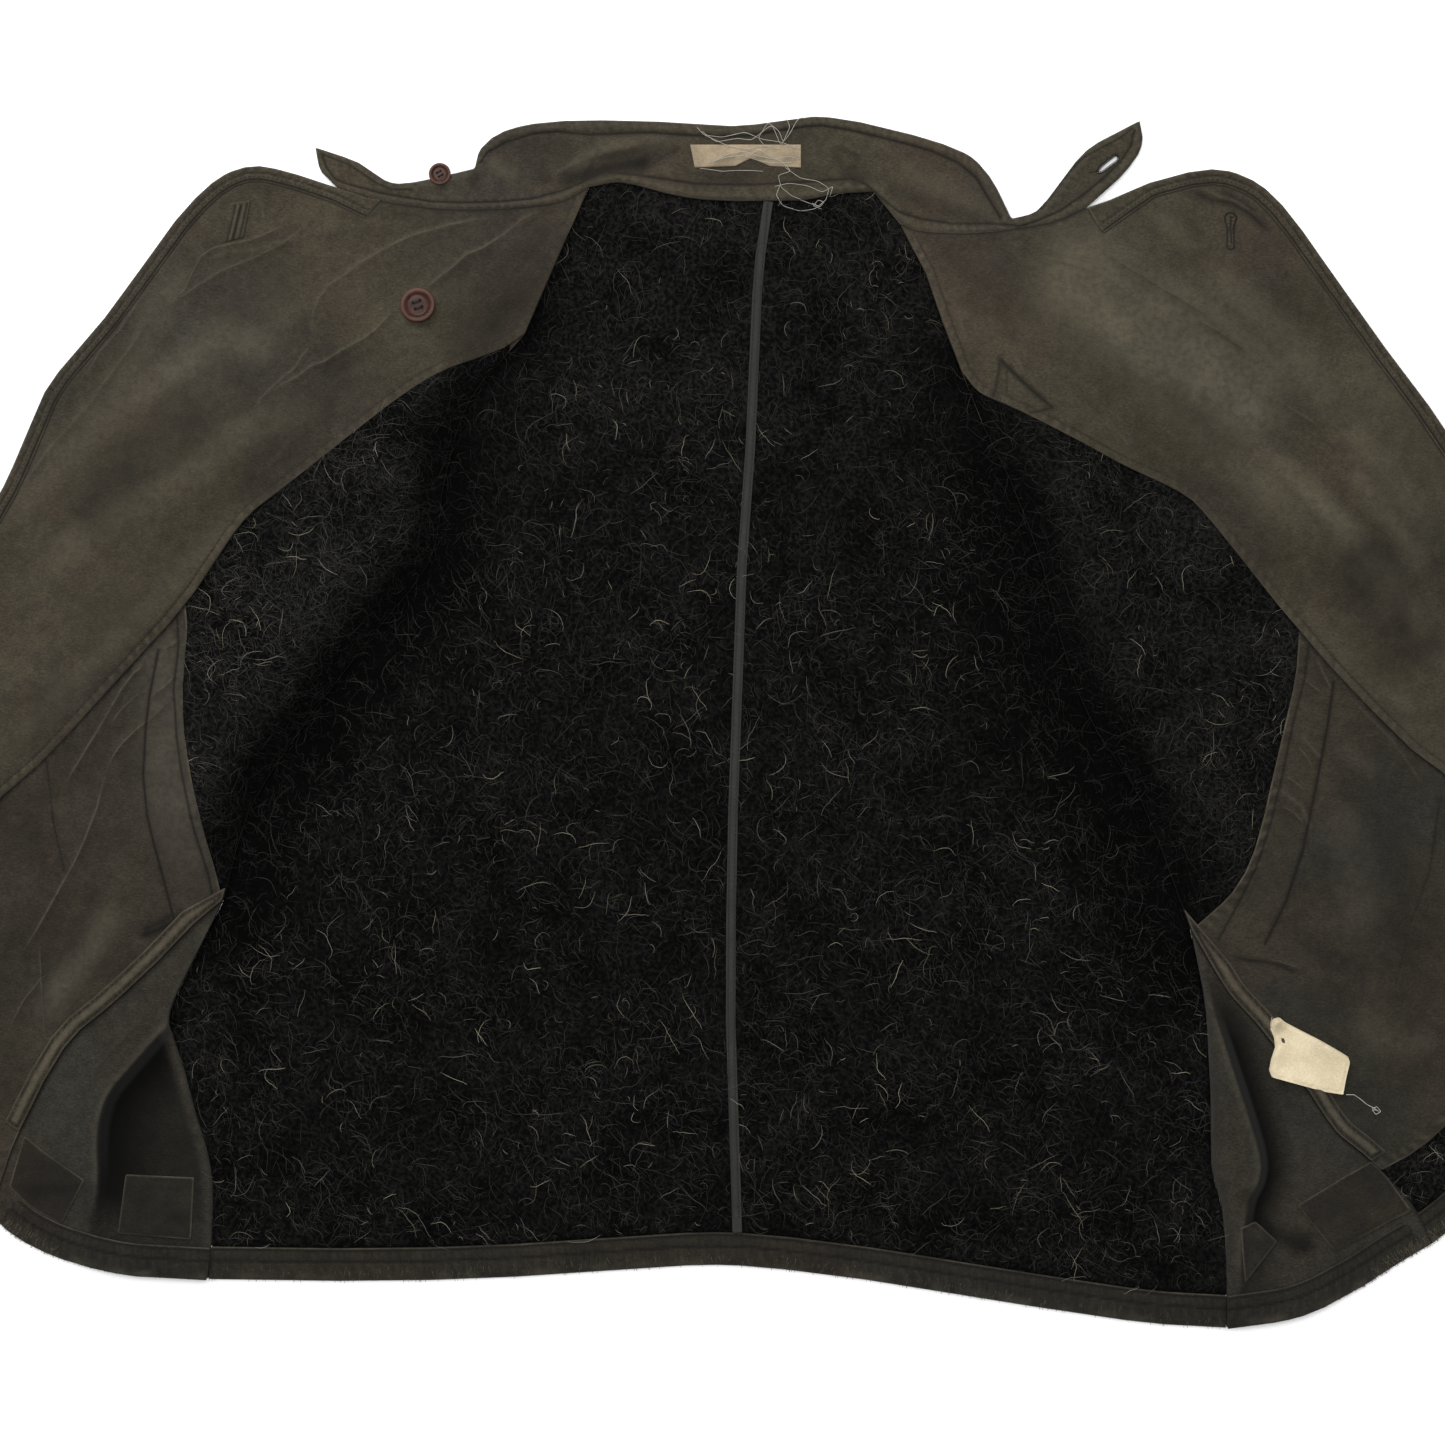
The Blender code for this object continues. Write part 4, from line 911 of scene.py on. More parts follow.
# %% Rows and creases of the patches
PATCH_ROWS = {
    "left": [
        (spots("178,607 180,645 175,690 179,735 187,778 199,832 210,875 214,897"), -0.7, 0.9, 0, 0.75),
        (spots("160,650 151,696 147,733 145,775 150,815 162,867 176,922"), -0.7, 0.9, 0, 0.85),
        (spots("49,763 55,821 66,870"), -0.4, 0.8, 0, 0.5),
    ],
    "right": [
        (spots("1307,645 1303,680 1292,722 1280,780 1270,820 1253,868 1236,905 1218,938"), -0.7, 0.9, 0, 0.7),
        (spots("1332,682 1326,727 1315,784 1301,852 1284,903 1264,943"), -0.7, 1.0, 0, 0.85),
        (spots("1438,800 1428,870 1409,925 1396,985"), -0.4, 0.9, 0, 0.45),
    ],
}
# Narrow marks are rubbed creases; the broad ones paint light on lit bands and shade in hollows, and a dark painted
# shadow lies at the foot of the seam.
PATCH_CREASES = {
    "left": [
        (spots("156,659 145,666 135,674 123,690 114,706 107,718 99,732 90,746 83,758 74,772 65,786"), 1.2, 2.0, 0.42, 0),
        (spots("180,672 172,681 166,687 158,692 151,700"), 1.2, 1.6, 0.42, 0),
        (spots("179,695 168,704 156,716 140,728 125,742 116,754 109,768"), 1.2, 1.8, 0.36, 0),
        (spots("109,768 99,807 86,841 76,862 65,882 56,898 47,914 34,936 21,955"), 1.3, 2.0, 0.46, 0),
        (spots("145,690 133,700 122,711 112,726"), 0.9, 1.6, 0.30, 0),
        (spots("180,640 172,646 164,650"), 0.8, 1.4, 0.34, 0),
        (spots("40,943 42,985 44,1010 46,1042"), 0.6, 1.2, 0.35, 0),
        (spots("53,970 40,980 24,1000 8,1030"), 0.7, 1.4, 0.25, 0),
        (spots("110,700 70,755 40,810 20,870"), -1.2, 7, 0, 0.25),
        (spots("140,800 110,850 90,920 60,975"), -1.4, 9, 0, 0.3),
        (spots("192,908 182,918 168,926 150,933 136,938"), -1.6, 3.4, 0, 1.0),
        (spots("176,912 166,920 152,927 140,930"), -1.0, 3.0, 0, 0.8),
        (spots("120,900 90,950 60,990 35,1030"), 1.5, 10, 0.25, 0),
        (spots("168,600 164,680 172,760 192,850 206,900"), 0, 20, 0.25, 0),
    ],
    "right": [
        (spots("1316,660 1322,675 1330,690"), 0.9, 2.2, 0.4, 0),
        (spots("1300,735 1312,750 1322,760"), 1.0, 3.0, 0.35, 0),
        (spots("1340,740 1356,760 1380,775"), 1.2, 7, 0.10, 0),
        (spots("1278,790 1300,806 1310,830"), 1.0, 3.5, 0.3, 0),
        (spots("1330,800 1350,850 1360,900 1352,950"), 1.6, 14, 0.10, 0),
        (spots("1300,676 1308,684 1320,693"), 0.8, 1.6, 0.26, 0),
        (spots("1296,746 1303,754 1312,768"), 0.8, 1.6, 0.26, 0),
        (spots("1284,776 1296,784 1304,792"), 0.7, 1.6, 0.24, 0),
        (spots("1280,806 1292,812 1303,824"), 0.7, 1.6, 0.24, 0),
        (spots("1350,700 1390,740 1425,790"), 1.0, 2.6, 0.14, 0),
        (spots("1380,800 1400,870 1405,950 1395,1020"), -1.6, 12, 0, 0.35),
        (spots("1290,930 1330,960 1370,970 1410,960"), -1.4, 8, 0, 0.35),
        (spots("1226,955 1248,960 1262,961 1278,965 1292,971 1304,974"), -1.3, 1.9, 0, 1.0),
        (spots("1268,959 1284,963 1300,968"), 0.9, 1.4, 0.2, 0),
        (spots("1350,1010 1380,1040 1410,1050 1440,1030"), 1.5, 10, 0.1, 0),
    ],
}


def patch_relief(side):
    bend = 40 if side == "left" else -40

    def relief(at, inset):
        return together(
            pressed(at, PATCH_ROWS[side], False),
            pressed(at, PATCH_CREASES[side], True),
            worn_edge(at, inset, 1.0, 41, 1.1 * MM),
            # Painted shadow: a dark band on the patch under the facing's edge.
            (np.zeros(len(at)), np.zeros(len(at)), 0.95 * ease(1 - outside(rims["facing_" + side], at) / (2.6 * MM))),
            waves(at, 16 * MM, 0.55 * MM, 42, bend, 2.2),
            waves(at, 60 * MM, 1.2 * MM, 43, bend, 1.8),
            puckered(at, closed(rims["pocket_patch_" + side]), 1.5 * MM, 6 * MM, 9 * MM, 0.35 * MM, 44),
        )

    return relief


def patch_base(side, at):
    return front_base(side, at) + LAYER + WOOL_LAYER


for side in SIDES:
    base = lambda at, side=side: patch_base(side, at)
    guides = [(line, 1.1 * MM) for line, height, half, fade_and_light, dark_dye_and_shade in PATCH_ROWS[side]]
    guides += [(line, 0.8 * MM) for line, height, half, fade_and_light, dark_dye_and_shade in PATCH_CREASES[side] if half < 4]
    lay("pocket_patch_cloth_" + side, "pocket_patch_" + side, base, TWILL, patch_cotton, 2.6 * MM,
        guides=guides, relief=patch_relief(side))
    remember("pocket_patch_" + side, base, TWILL, patch_relief(side))

# %% [markdown]
# ## The facings
# The wide facings are the inner side of the fronts. They show the most cloth, so the folds that cross them
# matter more than anything else: broad soft ones that fan out from the collar, and a few sharp rubbed ones.
# The broad ones carry painted light on their lit sides and painted shade in their hollows and near the neck,
# and painted shadow lines lie under the edges of the collar and the edge band.

# %% Rows and creases of the facings
FACING_EDGES = {
    "left": stretch(rims["facing_left"], *spots("589,187 -112,1091 327,452")),
    "right": stretch(rims["facing_right"], *spots("900,224 1588,1090 1116,463")),
}
FACING_ROWS = {
    "left": [(beside(evenly(FACING_EDGES["left"], 6 * MM), -5.2 * MM), -0.45, 0.8, 0, 0.45)],
    "right": [
        (beside(evenly(FACING_EDGES["right"], 6 * MM), 5.2 * MM), -0.45, 0.8, 0, 0.45),
        (spots("1000,361 996,385 991,403"), -0.8, 1.2, 0, 0.7),
        (spots("1000,361 1012,373 1030,390 1051,409"), -0.9, 1.4, 0, 0.85),
        (spots("1051,409 1040,412 1030,414"), -0.7, 1.0, 0, 0.7),
        (spots("1006,374 1006,392 1003,404"), -0.5, 0.9, 0, 0.45),
    ],
}
# Marks of 9 mm half width and more paint light on lit slopes and shade in hollows and near the neck; the narrow ones
# are rubbed creases and dark hollows.
FACING_CREASES = {
    "left": [
        (spots("545,208 523,219 503,236 483,250 468,256 455,268 437,282 420,297"), 1.6, 2.6, 0.42, 0),
        (spots("535,222 505,244 470,268 446,290"), -1.2, 4, 0, 0.4),
        (spots("404,309 391,317 378,331 363,342 345,351 327,363 312,368 302,376 283,386 265,400"), 1.5, 2.4, 0.38, 0),
        (spots("410,326 372,352 340,372 310,392 275,420 240,450"), -1.4, 5, 0, 0.35),
        (spots("500,215 450,225 413,236 385,250 361,264 345,277 330,286 320,299 315,312 314,327 312,345"), 1.5, 2.6, 0.34, 0),
        (spots("314,345 304,358 296,370 283,380 271,391 262,400 254,414"), 1.3, 2.2, 0.38, 0),
        (spots("340,262 320,285 311,312 300,345"), -1.0, 4, 0, 0.3),
        (spots("293,222 270,232 250,240 231,244 213,248 201,256 193,272 185,290 172,303 158,314"), 1.0, 2.0, 0.32, 0),
        (spots("317,216 300,230 284,244 255,258 222,271 198,286 176,302 160,318"), 1.0, 2.2, 0.30, 0),
        (spots("140,300 120,330 100,352 84,380"), 0.9, 2.0, 0.28, 0),
        (spots("560,200 545,250 520,300 480,335 430,360"), -1.0, 24, 0, 0.7),
        (spots("230,400 160,450 120,480 60,540"), -1.4, 22, 0, 0.65),
        (spots("310,236 280,243 250,252 226,252 205,262"), 1.4, 4.5, 0.2, 0),
        (spots("305,226 285,236 262,240"), -1.1, 4, 0, 0.35),
        (spots("264,222 262,206 252,192"), 0.9, 3, 0.2, 0),
        (spots("336,224 380,216 430,214 475,216"), -1.2, 5, 0, 0.3),
        (spots("300,325 260,350 226,334 190,362 147,392 92,438 31,496"), 2.4, 15, 0.28, 0),
        (spots("330,355 280,385 230,400 180,425 132,447 70,500 18,545"), -2.4, 17, 0, 0.30),
        (spots("330,400 290,415 230,442 184,478 130,510 92,533 20,590"), 2.0, 13, 0.22, 0),
        (spots("430,380 370,420 300,470 240,500 170,560 100,620 30,680"), -1.8, 17, 0, 0.25),
        (spots("270,500 220,540 170,590 110,650 50,710 -20,770"), 1.6, 10, 0.15, 0),
        (spots("200,250 150,330 110,400 60,470 0,540"), 1.6, 12, 0.2, 0),
        (spots("165,300 130,350 90,405 50,450 10,505"), 1.2, 3.2, 0.3, 0),
        (spots("420,228 360,240 300,275 250,310 190,350"), -1.8, 13, 0, 0.2),
        (spots("212,498 225,520 238,522"), -1.0, 4, 0, 0.35),
        (spots("292,438 285,452 262,474"), 0.8, 4, 0.2, 0),
    ],
    "right": [
        (spots("1013,251 1065,268 1138,285 1192,319 1248,353 1294,395 1330,420"), 2.0, 9, 0.18, 0),
        (spots("1095,250 1130,270 1165,292 1201,313 1222,334 1245,355 1262,372"), 1.2, 2.0, 0.42, 0),
        (spots("1020,255 1060,262 1100,275 1135,300 1160,318"), 1.0, 2.2, 0.22, 0),
        (spots("1248,380 1262,395 1290,410 1322,430"), 1.0, 2.2, 0.26, 0),
        (spots("1340,530 1380,600 1420,680"), -1.0, 30, 0, 0.75),
        (spots("1010,262 1100,300 1200,360 1290,440"), 0.6, 36, 0.46, 0),
        (spots("1192,319 1216,332 1240,350"), 1.0, 2.4, 0.5, 0),
        (spots("1330,398 1338,412 1350,430"), 0.9, 3, 0.5, 0),
        (spots("1187,186 1199,194 1213,200 1233,203 1250,213 1264,226 1279,233"), -2.2, 3.2, 0, 0.85),
        (spots("1215,190 1232,195 1249,206 1262,214"), -1.5, 2.4, 0, 0.7),
        (spots("1200,187 1220,197 1240,202 1256,215"), 1.6, 2.6, 0.25, 0),
        (spots("1175,205 1190,222 1205,240"), -1.2, 5, 0, 0.3),
        (spots("1155,210 1172,228 1190,250"), 1.0, 5, 0.18, 0),
        (spots("1005,235 1020,245 1040,250 1070,262"), -1.2, 4, 0, 0.35),
        (spots("940,250 1000,285 1060,330 1100,380 1140,420"), -1.8, 18, 0, 0.3),
        (spots("1090,320 1140,370 1200,430 1250,480 1310,540"), 2.0, 15, 0.2, 0),
        (spots("1100,400 1160,460 1220,500 1270,560 1330,620"), -2.0, 16, 0, 0.35),
        (spots("1248,444 1298,482 1340,528 1390,590 1440,650"), 2.2, 9, 0.3, 0),
        (spots("1260,430 1310,462 1350,500 1400,560"), -1.5, 8, 0, 0.25),
        (spots("1190,250 1240,300 1290,350 1340,420 1400,500 1445,570"), 2.0, 14, 0.2, 0),
        (spots("1290,520 1340,570 1385,620 1430,690"), -1.8, 14, 0, 0.35),
        (spots("1345,460 1390,520 1430,580"), 1.5, 8, 0.3, 0),
        (spots("1330,650 1380,690 1420,720"), 1.2, 7, 0.15, 0),
    ],
}


def facing_relief(side):
    bend = 38 if side == "left" else -42

    def relief(at, inset):
        fold_light_and_shade = rumple(at, 24 * MM, 55, bend, 3.6)
        collar_shadow = ease(1 - outside(rims["collar_inner"], at) / (2.4 * MM))
        band_shadow = ease(1 - outside(rims["front_edge_band_" + side], at) / (1.6 * MM))
        return together(
            # Painted light and shade in bands across the facing, along the run of its folds.
            (np.zeros(len(at)), 0.14 * np.clip(fold_light_and_shade, 0, 1), 0.34 * np.clip(-fold_light_and_shade, 0, 1)),
            # Painted shadow under the collar's edge and the edge band's edge.
            (np.zeros(len(at)), np.zeros(len(at)), 0.9 * np.maximum(collar_shadow, band_shadow)),
            pressed(at, FACING_ROWS[side], False),
            pressed(at, FACING_CREASES[side], True),
            worn_edge(at, inset, 0.45, 51),
            waves(at, 42 * MM, 1.0 * MM, 52, bend, 3.0),
            waves(at, 13 * MM, 0.28 * MM, 53, bend, 2.5),
            puckered(at, FACING_EDGES[side], 0.8 * MM, 5 * MM, 8 * MM, 0.30 * MM, 54),
        )

    return relief


for side in SIDES:
    base = lambda at, side=side: facing_base(side, at)
    guides = [(line, 1.1 * MM) for line, height, half, fade_and_light, dark_dye_and_shade in FACING_ROWS[side]]
    guides += [(line, 0.8 * MM) for line, height, half, fade_and_light, dark_dye_and_shade in FACING_CREASES[side] if half < 4]
    lay("facing_cloth_" + side, "facing_" + side, base, TWILL, cotton, 3.0 * MM,
        guides=guides, relief=facing_relief(side))
    remember("facing_" + side, base, TWILL, facing_relief(side))

# %% [markdown]
# ## The edge bands and hem bands
# The front edge and the hem are folded in and sewn down with rows close together. Sewn cotton shrinks
# along its thread with each wash, so a band is roped: rows of slanted puckers, pale on top and dark between.

# %% Band along the front edges
def edge_of(node, places):
    return stretch(rims[node], *spots(places))


BAND_INNER = {
    "left": edge_of("front_edge_band_left", "365,219 -180,880 168,255"),
    "right": edge_of("front_edge_band_right", "1103,234 1665,900 1281,232"),
}


def band_relief(side):
    inner = evenly(BAND_INNER[side], 5 * MM)
    rows = [
        (beside(inner, -TURN[side] * s * MM), height, half, fade_and_light, dark_dye_and_shade)
        for s, height, half, fade_and_light, dark_dye_and_shade in ((1.3, -0.6, 0.6, 0, 0.95), (3.4, 0.4, 1.0, 0.16, 0), (5.8, -0.5, 0.6, 0, 0.75))
    ]

    def relief(at, inset):
        return together(
            pressed(at, rows, False),
            worn_edge(at, inset, 0.8, 61, 1.2 * MM),
            puckered(at, inner, 3.8 * MM, 9.5 * MM, 6 * MM, 0.14 * MM, 62),
            waves(at, 30 * MM, 0.5 * MM, 63),
        )

    return relief


for side in SIDES:
    base = lambda at, side=side: facing_base(side, at)
    lay("front_edge_band_cloth_" + side, "front_edge_band_" + side, base, 1.8 * MM, cotton, 1.5 * MM,
        relief=band_relief(side), under=6 * MM)
    remember("front_edge_band_" + side, base, 1.8 * MM, band_relief(side))

# %% Hem bands of fronts and back
HEM_EDGES = {"left": hems["left"], "right": hems["right"], "back": edge_of("back_hem_band", "208,1280 1227,1328 755,1266")}


def hem_relief(part):
    edge = evenly(HEM_EDGES[part], 6 * MM)

    def relief(at, inset):
        away = from_line(edge, at)[0]
        rows = (np.zeros(len(at)),) * 2
        drop = np.zeros(len(at))
        dark_dye_and_shade = np.zeros(len(at))
        for depth in (19.2, 12.2):
            form = swell(np.abs(away - depth * MM) / (0.8 * MM))
            drop -= 0.6 * MM * form
            dark_dye_and_shade = np.maximum(dark_dye_and_shade, 0.8 * form)
        rubbed = 0.75 * np.clip((away - 19.6 * MM) / (0.8 * MM), 0, 1) * (0.6 + 0.4 * rumple(at, 20 * MM, 71))
        fray = ease(1 - away / (7 * MM)) * np.clip(rumple(at, 9 * MM, 72) + 0.25, 0, 1)
        chewed = (0.8 * MM * fray * rumple(at, 2.4 * MM, 73), 0.35 * fray, np.zeros(len(at)))
        return together(
            (drop, rubbed, dark_dye_and_shade),
            chewed,
            puckered(at, edge, 13 * MM, 18.6 * MM, 5 * MM, 0.05 * MM, 74, 0.2),
            puckered(at, edge, 1.0 * MM, 11.6 * MM, 7 * MM, 0.07 * MM, 75, 0.3),
            worn_edge(at, away, 0.4, 76),
        )

    return relief


for side in SIDES:
    base = lambda at, side=side: front_base(side, at) + LAYER
    lay("front_hem_band_cloth_" + side, "front_hem_band_" + side, base, 1.8 * MM, edge_cotton, 1.8 * MM,
        relief=hem_relief(side), under=7 * MM)
    remember("front_hem_band_" + side, base, 1.8 * MM, hem_relief(side))
back_band = lambda at: np.full(len(at), LAYER)
lay("back_hem_band_cloth", "back_hem_band", back_band, 3.1 * MM, edge_cotton, 1.8 * MM,
    relief=hem_relief("back"), under=7 * MM)
remember("back_hem_band", back_band, 3.1 * MM, hem_relief("back"))

# %% [markdown]
# ## Felled side seams and hem patches
# The side seam is felled: both edges are folded into each other and sewn twice, which leaves a raised
# strip with a groove on each side. Four small patches strengthen the ends of the seams at the hem.

# %% The seam strips
def strip_relief(side):
    ring = rims["side_seam_" + side]

    def relief(at, inset):
        plump = 1.2 * MM * ease(inset / (4 * MM))
        row = swell(np.abs(inset - 2.0 * MM) / (0.65 * MM))
        crown = 0.42 * swell(np.abs(inset - 4.8 * MM) / (1.3 * MM))
        effects = (plump - 0.8 * MM * row, crown, 0.9 * row)
        return together(effects, worn_edge(at, inset, 0.8, 81, 0.9 * MM), waves(at, 7 * MM, 0.4 * MM, 82))

    return relief


for side in SIDES:
    base = lambda at, side=side: front_base(side, at) + 2 * LAYER + WOOL_LAYER
    lay("side_seam_cloth_" + side, "side_seam_" + side, base, TWILL, cotton, 1.5 * MM,
        relief=strip_relief(side), under=5 * MM)
    remember("side_seam_" + side, base, TWILL, strip_relief(side))

# %% The patches at the hem
OLD_DYE = {"left": 0.55, "right": 0.24}  # how much darker than the worn cloth round them


def small_patch_relief(side, at, inset):
    row = swell(np.abs(inset - 2.2 * MM) / (0.7 * MM))
    dyed = OLD_DYE[side] + 0.3 * np.clip(rumple(at, 9 * MM, 87, 0, 2.5), 0, 1)
    old_dye = np.where(inset < 0.8 * MM, 0.1, dyed)
    effects = (-0.4 * MM * row, np.zeros(len(at)), np.maximum(0.6 * row, old_dye))
    return together(effects, worn_edge(at, inset, 0.9, 85, 1.0 * MM), waves(at, 12 * MM, 0.5 * MM, 86))


for side in SIDES:
    for place in ("front", "back"):
        node = "hem_patch_" + place + "_" + side
        base = lambda at, side=side: gusset_base(side, at) + LAYER
        lay(node + "_cloth", node, base, TWILL, patch_cotton, 1.8 * MM,
            relief=lambda at, inset, side=side: small_patch_relief(side, at, inset),
            under=5 * MM)

# %% [markdown]
# ## The collar
# The stand collar is two layers of cotton, turned and sewn near every edge. Its left end carries the small
# button, and its pointed right tab the buttonhole, a real slot through both layers.
# The rows and the puckers beside them give the collar its quilted look, so both are drawn as lines.

# %% Rows, creases and the slot of the collar
COLLAR_ROWS = [
    (spots("481,163 487,153 507,142 534,134 558,132 590,135 650,133 695,136 732,137 751,136 779,131 807,127 "
           "822,126 852,131 890,140 930,151 958,163 976,178 989,200 1000,218"), -0.7, 0.9, 0, 0.8),
    (spots("322,155 326,167 335,179 347,184 380,193 407,198 432,202 463,203 501,202 533,199 562,191 584,182 604,172 "
           "635,175 695,184 751,185 807,182 851,179 866,185 880,197 898,212 920,219 953,224 990,224 1016,226"), -0.7, 0.9, 0, 0.75),
    (spots("1016,228 1040,220 1060,211 1082,196 1104,178 1121,161 1131,146 1135,130"), -0.6, 0.8, 0, 0.75),
    (spots("1024,216 1042,208 1053,193 1068,173 1083,158 1101,148 1120,138 1133,128"), -0.5, 0.8, 0, 0.6),
    (spots("322,154 350,165 376,183 392,190 412,190"), -0.5, 0.8, 0, 0.6),
]
# The collar's pucker folds: ridges rubbed pale, and hollows darkened with painted shade.
COLLAR_CREASES = [
    (spots("600,146 588,163 578,178"), 1.2, 3, 0.3, 0),
    (spots("672,150 655,163 640,171 622,176"), -1.4, 3, 0, 0.6),
    (spots("680,143 640,144 607,148 585,160 566,180"), 1.6, 6, 0.2, 0),
    (spots("835,150 840,165 848,185"), -1.0, 3, 0, 0.5),
    (spots("520,150 540,170 545,190"), -1.0, 7, 0, 0.3),
    (spots("486,160 500,170 520,176"), 1.0, 5, 0.2, 0),
    (spots("900,160 930,185 975,205 1005,226"), 1.6, 9, 0.15, 0),
    (spots("880,185 910,200 950,212 1000,224"), -1.2, 5, 0, 0.35),
    (spots("474,168 478,178 470,190"), -1.5, 4, 0, 0.6),
    (spots("548,178 570,166 592,157 618,150 646,146"), 1.8, 2.6, 0.30, 0),
    (spots("552,188 576,178 606,170 636,164 662,158"), -2.0, 5, 0, 1.0),
    (spots("636,172 652,164 668,154 684,148"), -1.4, 2.4, 0, 0.8),
    (spots("590,166 620,158 650,152 676,150"), -1.2, 5, 0, 0.45),
    (spots("500,138 530,148 556,150 580,148"), -1.2, 9, 0, 0.35),
    (spots("836,146 850,154 864,162"), -1.0, 3, 0, 0.6),
    (spots("832,142 848,147 862,155"), 0.9, 2.4, 0.25, 0),
    (spots("846,165 856,176 862,188"), -1.0, 6, 0, 0.55),
    (spots("690,176 730,179 780,177 830,172"), -0.8, 4, 0, 0.35),
]
TAB_SLOT = evenly(closed(spots("1116,154 1119,156 1119,160 1112,165 1103,172 1098,174 1097,171 1101,166 1108,160")), 1.2 * MM)[:-1]


def collar_relief(at, inset):
    rolled = 0.9 * MM * swell(np.abs(inset - 3.5 * MM) / (2.6 * MM))
    return together(
        (rolled, np.zeros(len(at)), np.zeros(len(at))),
        pressed(at, COLLAR_ROWS, False),
        pressed(at, COLLAR_CREASES, True),
        worn_edge(at, inset, 0.7, 91, 1.2 * MM),
        (np.zeros(len(at)), 0.22 * swell(np.abs(inset - 3.2 * MM) / (1.2 * MM)), np.zeros(len(at))),
        puckered(at, closed(rims["collar_inner"]), 1.0 * MM, 6.3 * MM, 6 * MM, 0.22 * MM, 92),
        waves(at, 15 * MM, 0.5 * MM, 93),
    )


lay("collar_outer_cloth", "collar_outer", collar_base, TWILL, edge_cotton, 5 * MM, under=8 * MM, holes=[TAB_SLOT])
collar_top = lambda at: collar_base(at) + LAYER
lay("collar_inner_cloth", "collar_inner", collar_top, TWILL, cotton, 2.0 * MM,
    guides=[(line, 1.1 * MM) for line, *rest in COLLAR_ROWS], relief=collar_relief, under=8 * MM, holes=[TAB_SLOT],
    sewn_down=stretch(rims["collar_inner"], *spots("585,190 905,226 740,200")))
remember("collar_inner", collar_top, TWILL, collar_relief)

# %% [markdown]
# ## Labels and the bound buttonhole
# A tan label, frayed to threads, is sewn inside the collar, and a cream one into the right side seam.
# Both are left bare: only the cloth, its fraying, soiling and curl are made.

# %% Label in the collar
FRAYED = spots("716,168 730,160 748,156 762,160 780,162 796,160")


def neck_label_relief(at, inset):
    away, share = from_line(FRAYED, at)
    loose = swell(away / (3.2 * MM))
    ragged = loose * rumple(at, 1.6 * MM, 101, 0, 4.0)
    return together((0.7 * MM * ragged, 0.8 * np.clip(ragged, 0, 1), 0.45 * loose), waves(at, 6 * MM, 0.3 * MM, 102))


label_base = lambda at: collar_base(at) + 2 * LAYER
lay("neck_label_cloth", "neck_label", label_base, 0.8 * MM, neck_label_cloth, 1.0 * MM,
    relief=neck_label_relief, under=4 * MM)

# %% Care label in the side seam
LABEL_CURL = spots("1271,1015")[0]


def right_seam_top(at):
    gusset = gusset_base("right", at) + LAYER
    seam = front_base("right", at) + 3 * LAYER + WOOL_LAYER
    return np.maximum(gusset, seam)


def care_label_base(at):
    """The label bridges what lies under it: the mean of several places round each point, and never below one."""
    ring = [(math.cos(t) * 7 * MM, math.sin(t) * 7 * MM) for t in np.linspace(0, 2 * math.pi, 9)[:-1]]
    around = np.mean([right_seam_top(at + step) for step in ring], 0)
    return np.maximum(around, right_seam_top(at)) + 0.4 * MM


def care_label_relief(at, inset):
    curl = 5.5 * MM * swell(np.hypot(*(at - LABEL_CURL).T) / (7 * MM))
    lift = 1.2 * MM * ease(1 - inset / (9 * MM))
    return together((curl + lift, np.zeros(len(at)), np.zeros(len(at))), waves(at, 18 * MM, 0.8 * MM, 103))


rims["care_label"] = spots(
    "1268,1028 1270,1018 1277,1016 1283,1021 1300,1030 1316,1038 1332,1047 1347,1056 1349,1062 1345,1078 1342,1094 "
    "1324,1091 1306,1086 1288,1081 1270,1076 1267,1069 1269,1058 1273,1046 1272,1036"
)
lay("care_label_cloth", "care_label", care_label_base, 0.7 * MM, care_label_cloth, 1.5 * MM,
    relief=care_label_relief, under=4 * MM)

# %% Square of the bound buttonhole
BOUND_ROWS = [
    (spots("241,205 237,222 233,240"), -1.0, 0.7, 0, 1.0),
    (spots("235.5,204 231.5,222 227,241"), -0.5, 0.45, 0, 0.9),
    (spots("247,203 243.5,221 239.5,239"), -0.5, 0.45, 0, 0.9),
    (spots("238,205 234.5,222 230,240"), 0.5, 0.6, 0.28, 0),
    (spots("244,205 240.5,222 236.5,239"), 0.5, 0.6, 0.28, 0),
]


def bound_relief(at, inset):
    return together(pressed(at, BOUND_ROWS, False), waves(at, 4 * MM, 0.35 * MM, 104), worn_edge(at, inset, 0.3, 105))


lay("buttonhole_binding_cloth", "buttonhole_binding", lambda at: facing_base("left", at) + LAYER, 0.9 * MM, cotton,
    0.8 * MM, relief=bound_relief, under=4 * MM)
remember("buttonhole_binding", lambda at: facing_base("left", at) + LAYER, 0.9 * MM, bound_relief)

# %% [markdown]
# ## Stitches
# One stitch is a short stretch of thread that dips into the cloth at both ends. Modelled one by one they
# would be tedious, so a row is sown along a line: each stitch is a slim eight-sided lozenge, pinched at its
# ends, sitting in the groove that the row has pressed.

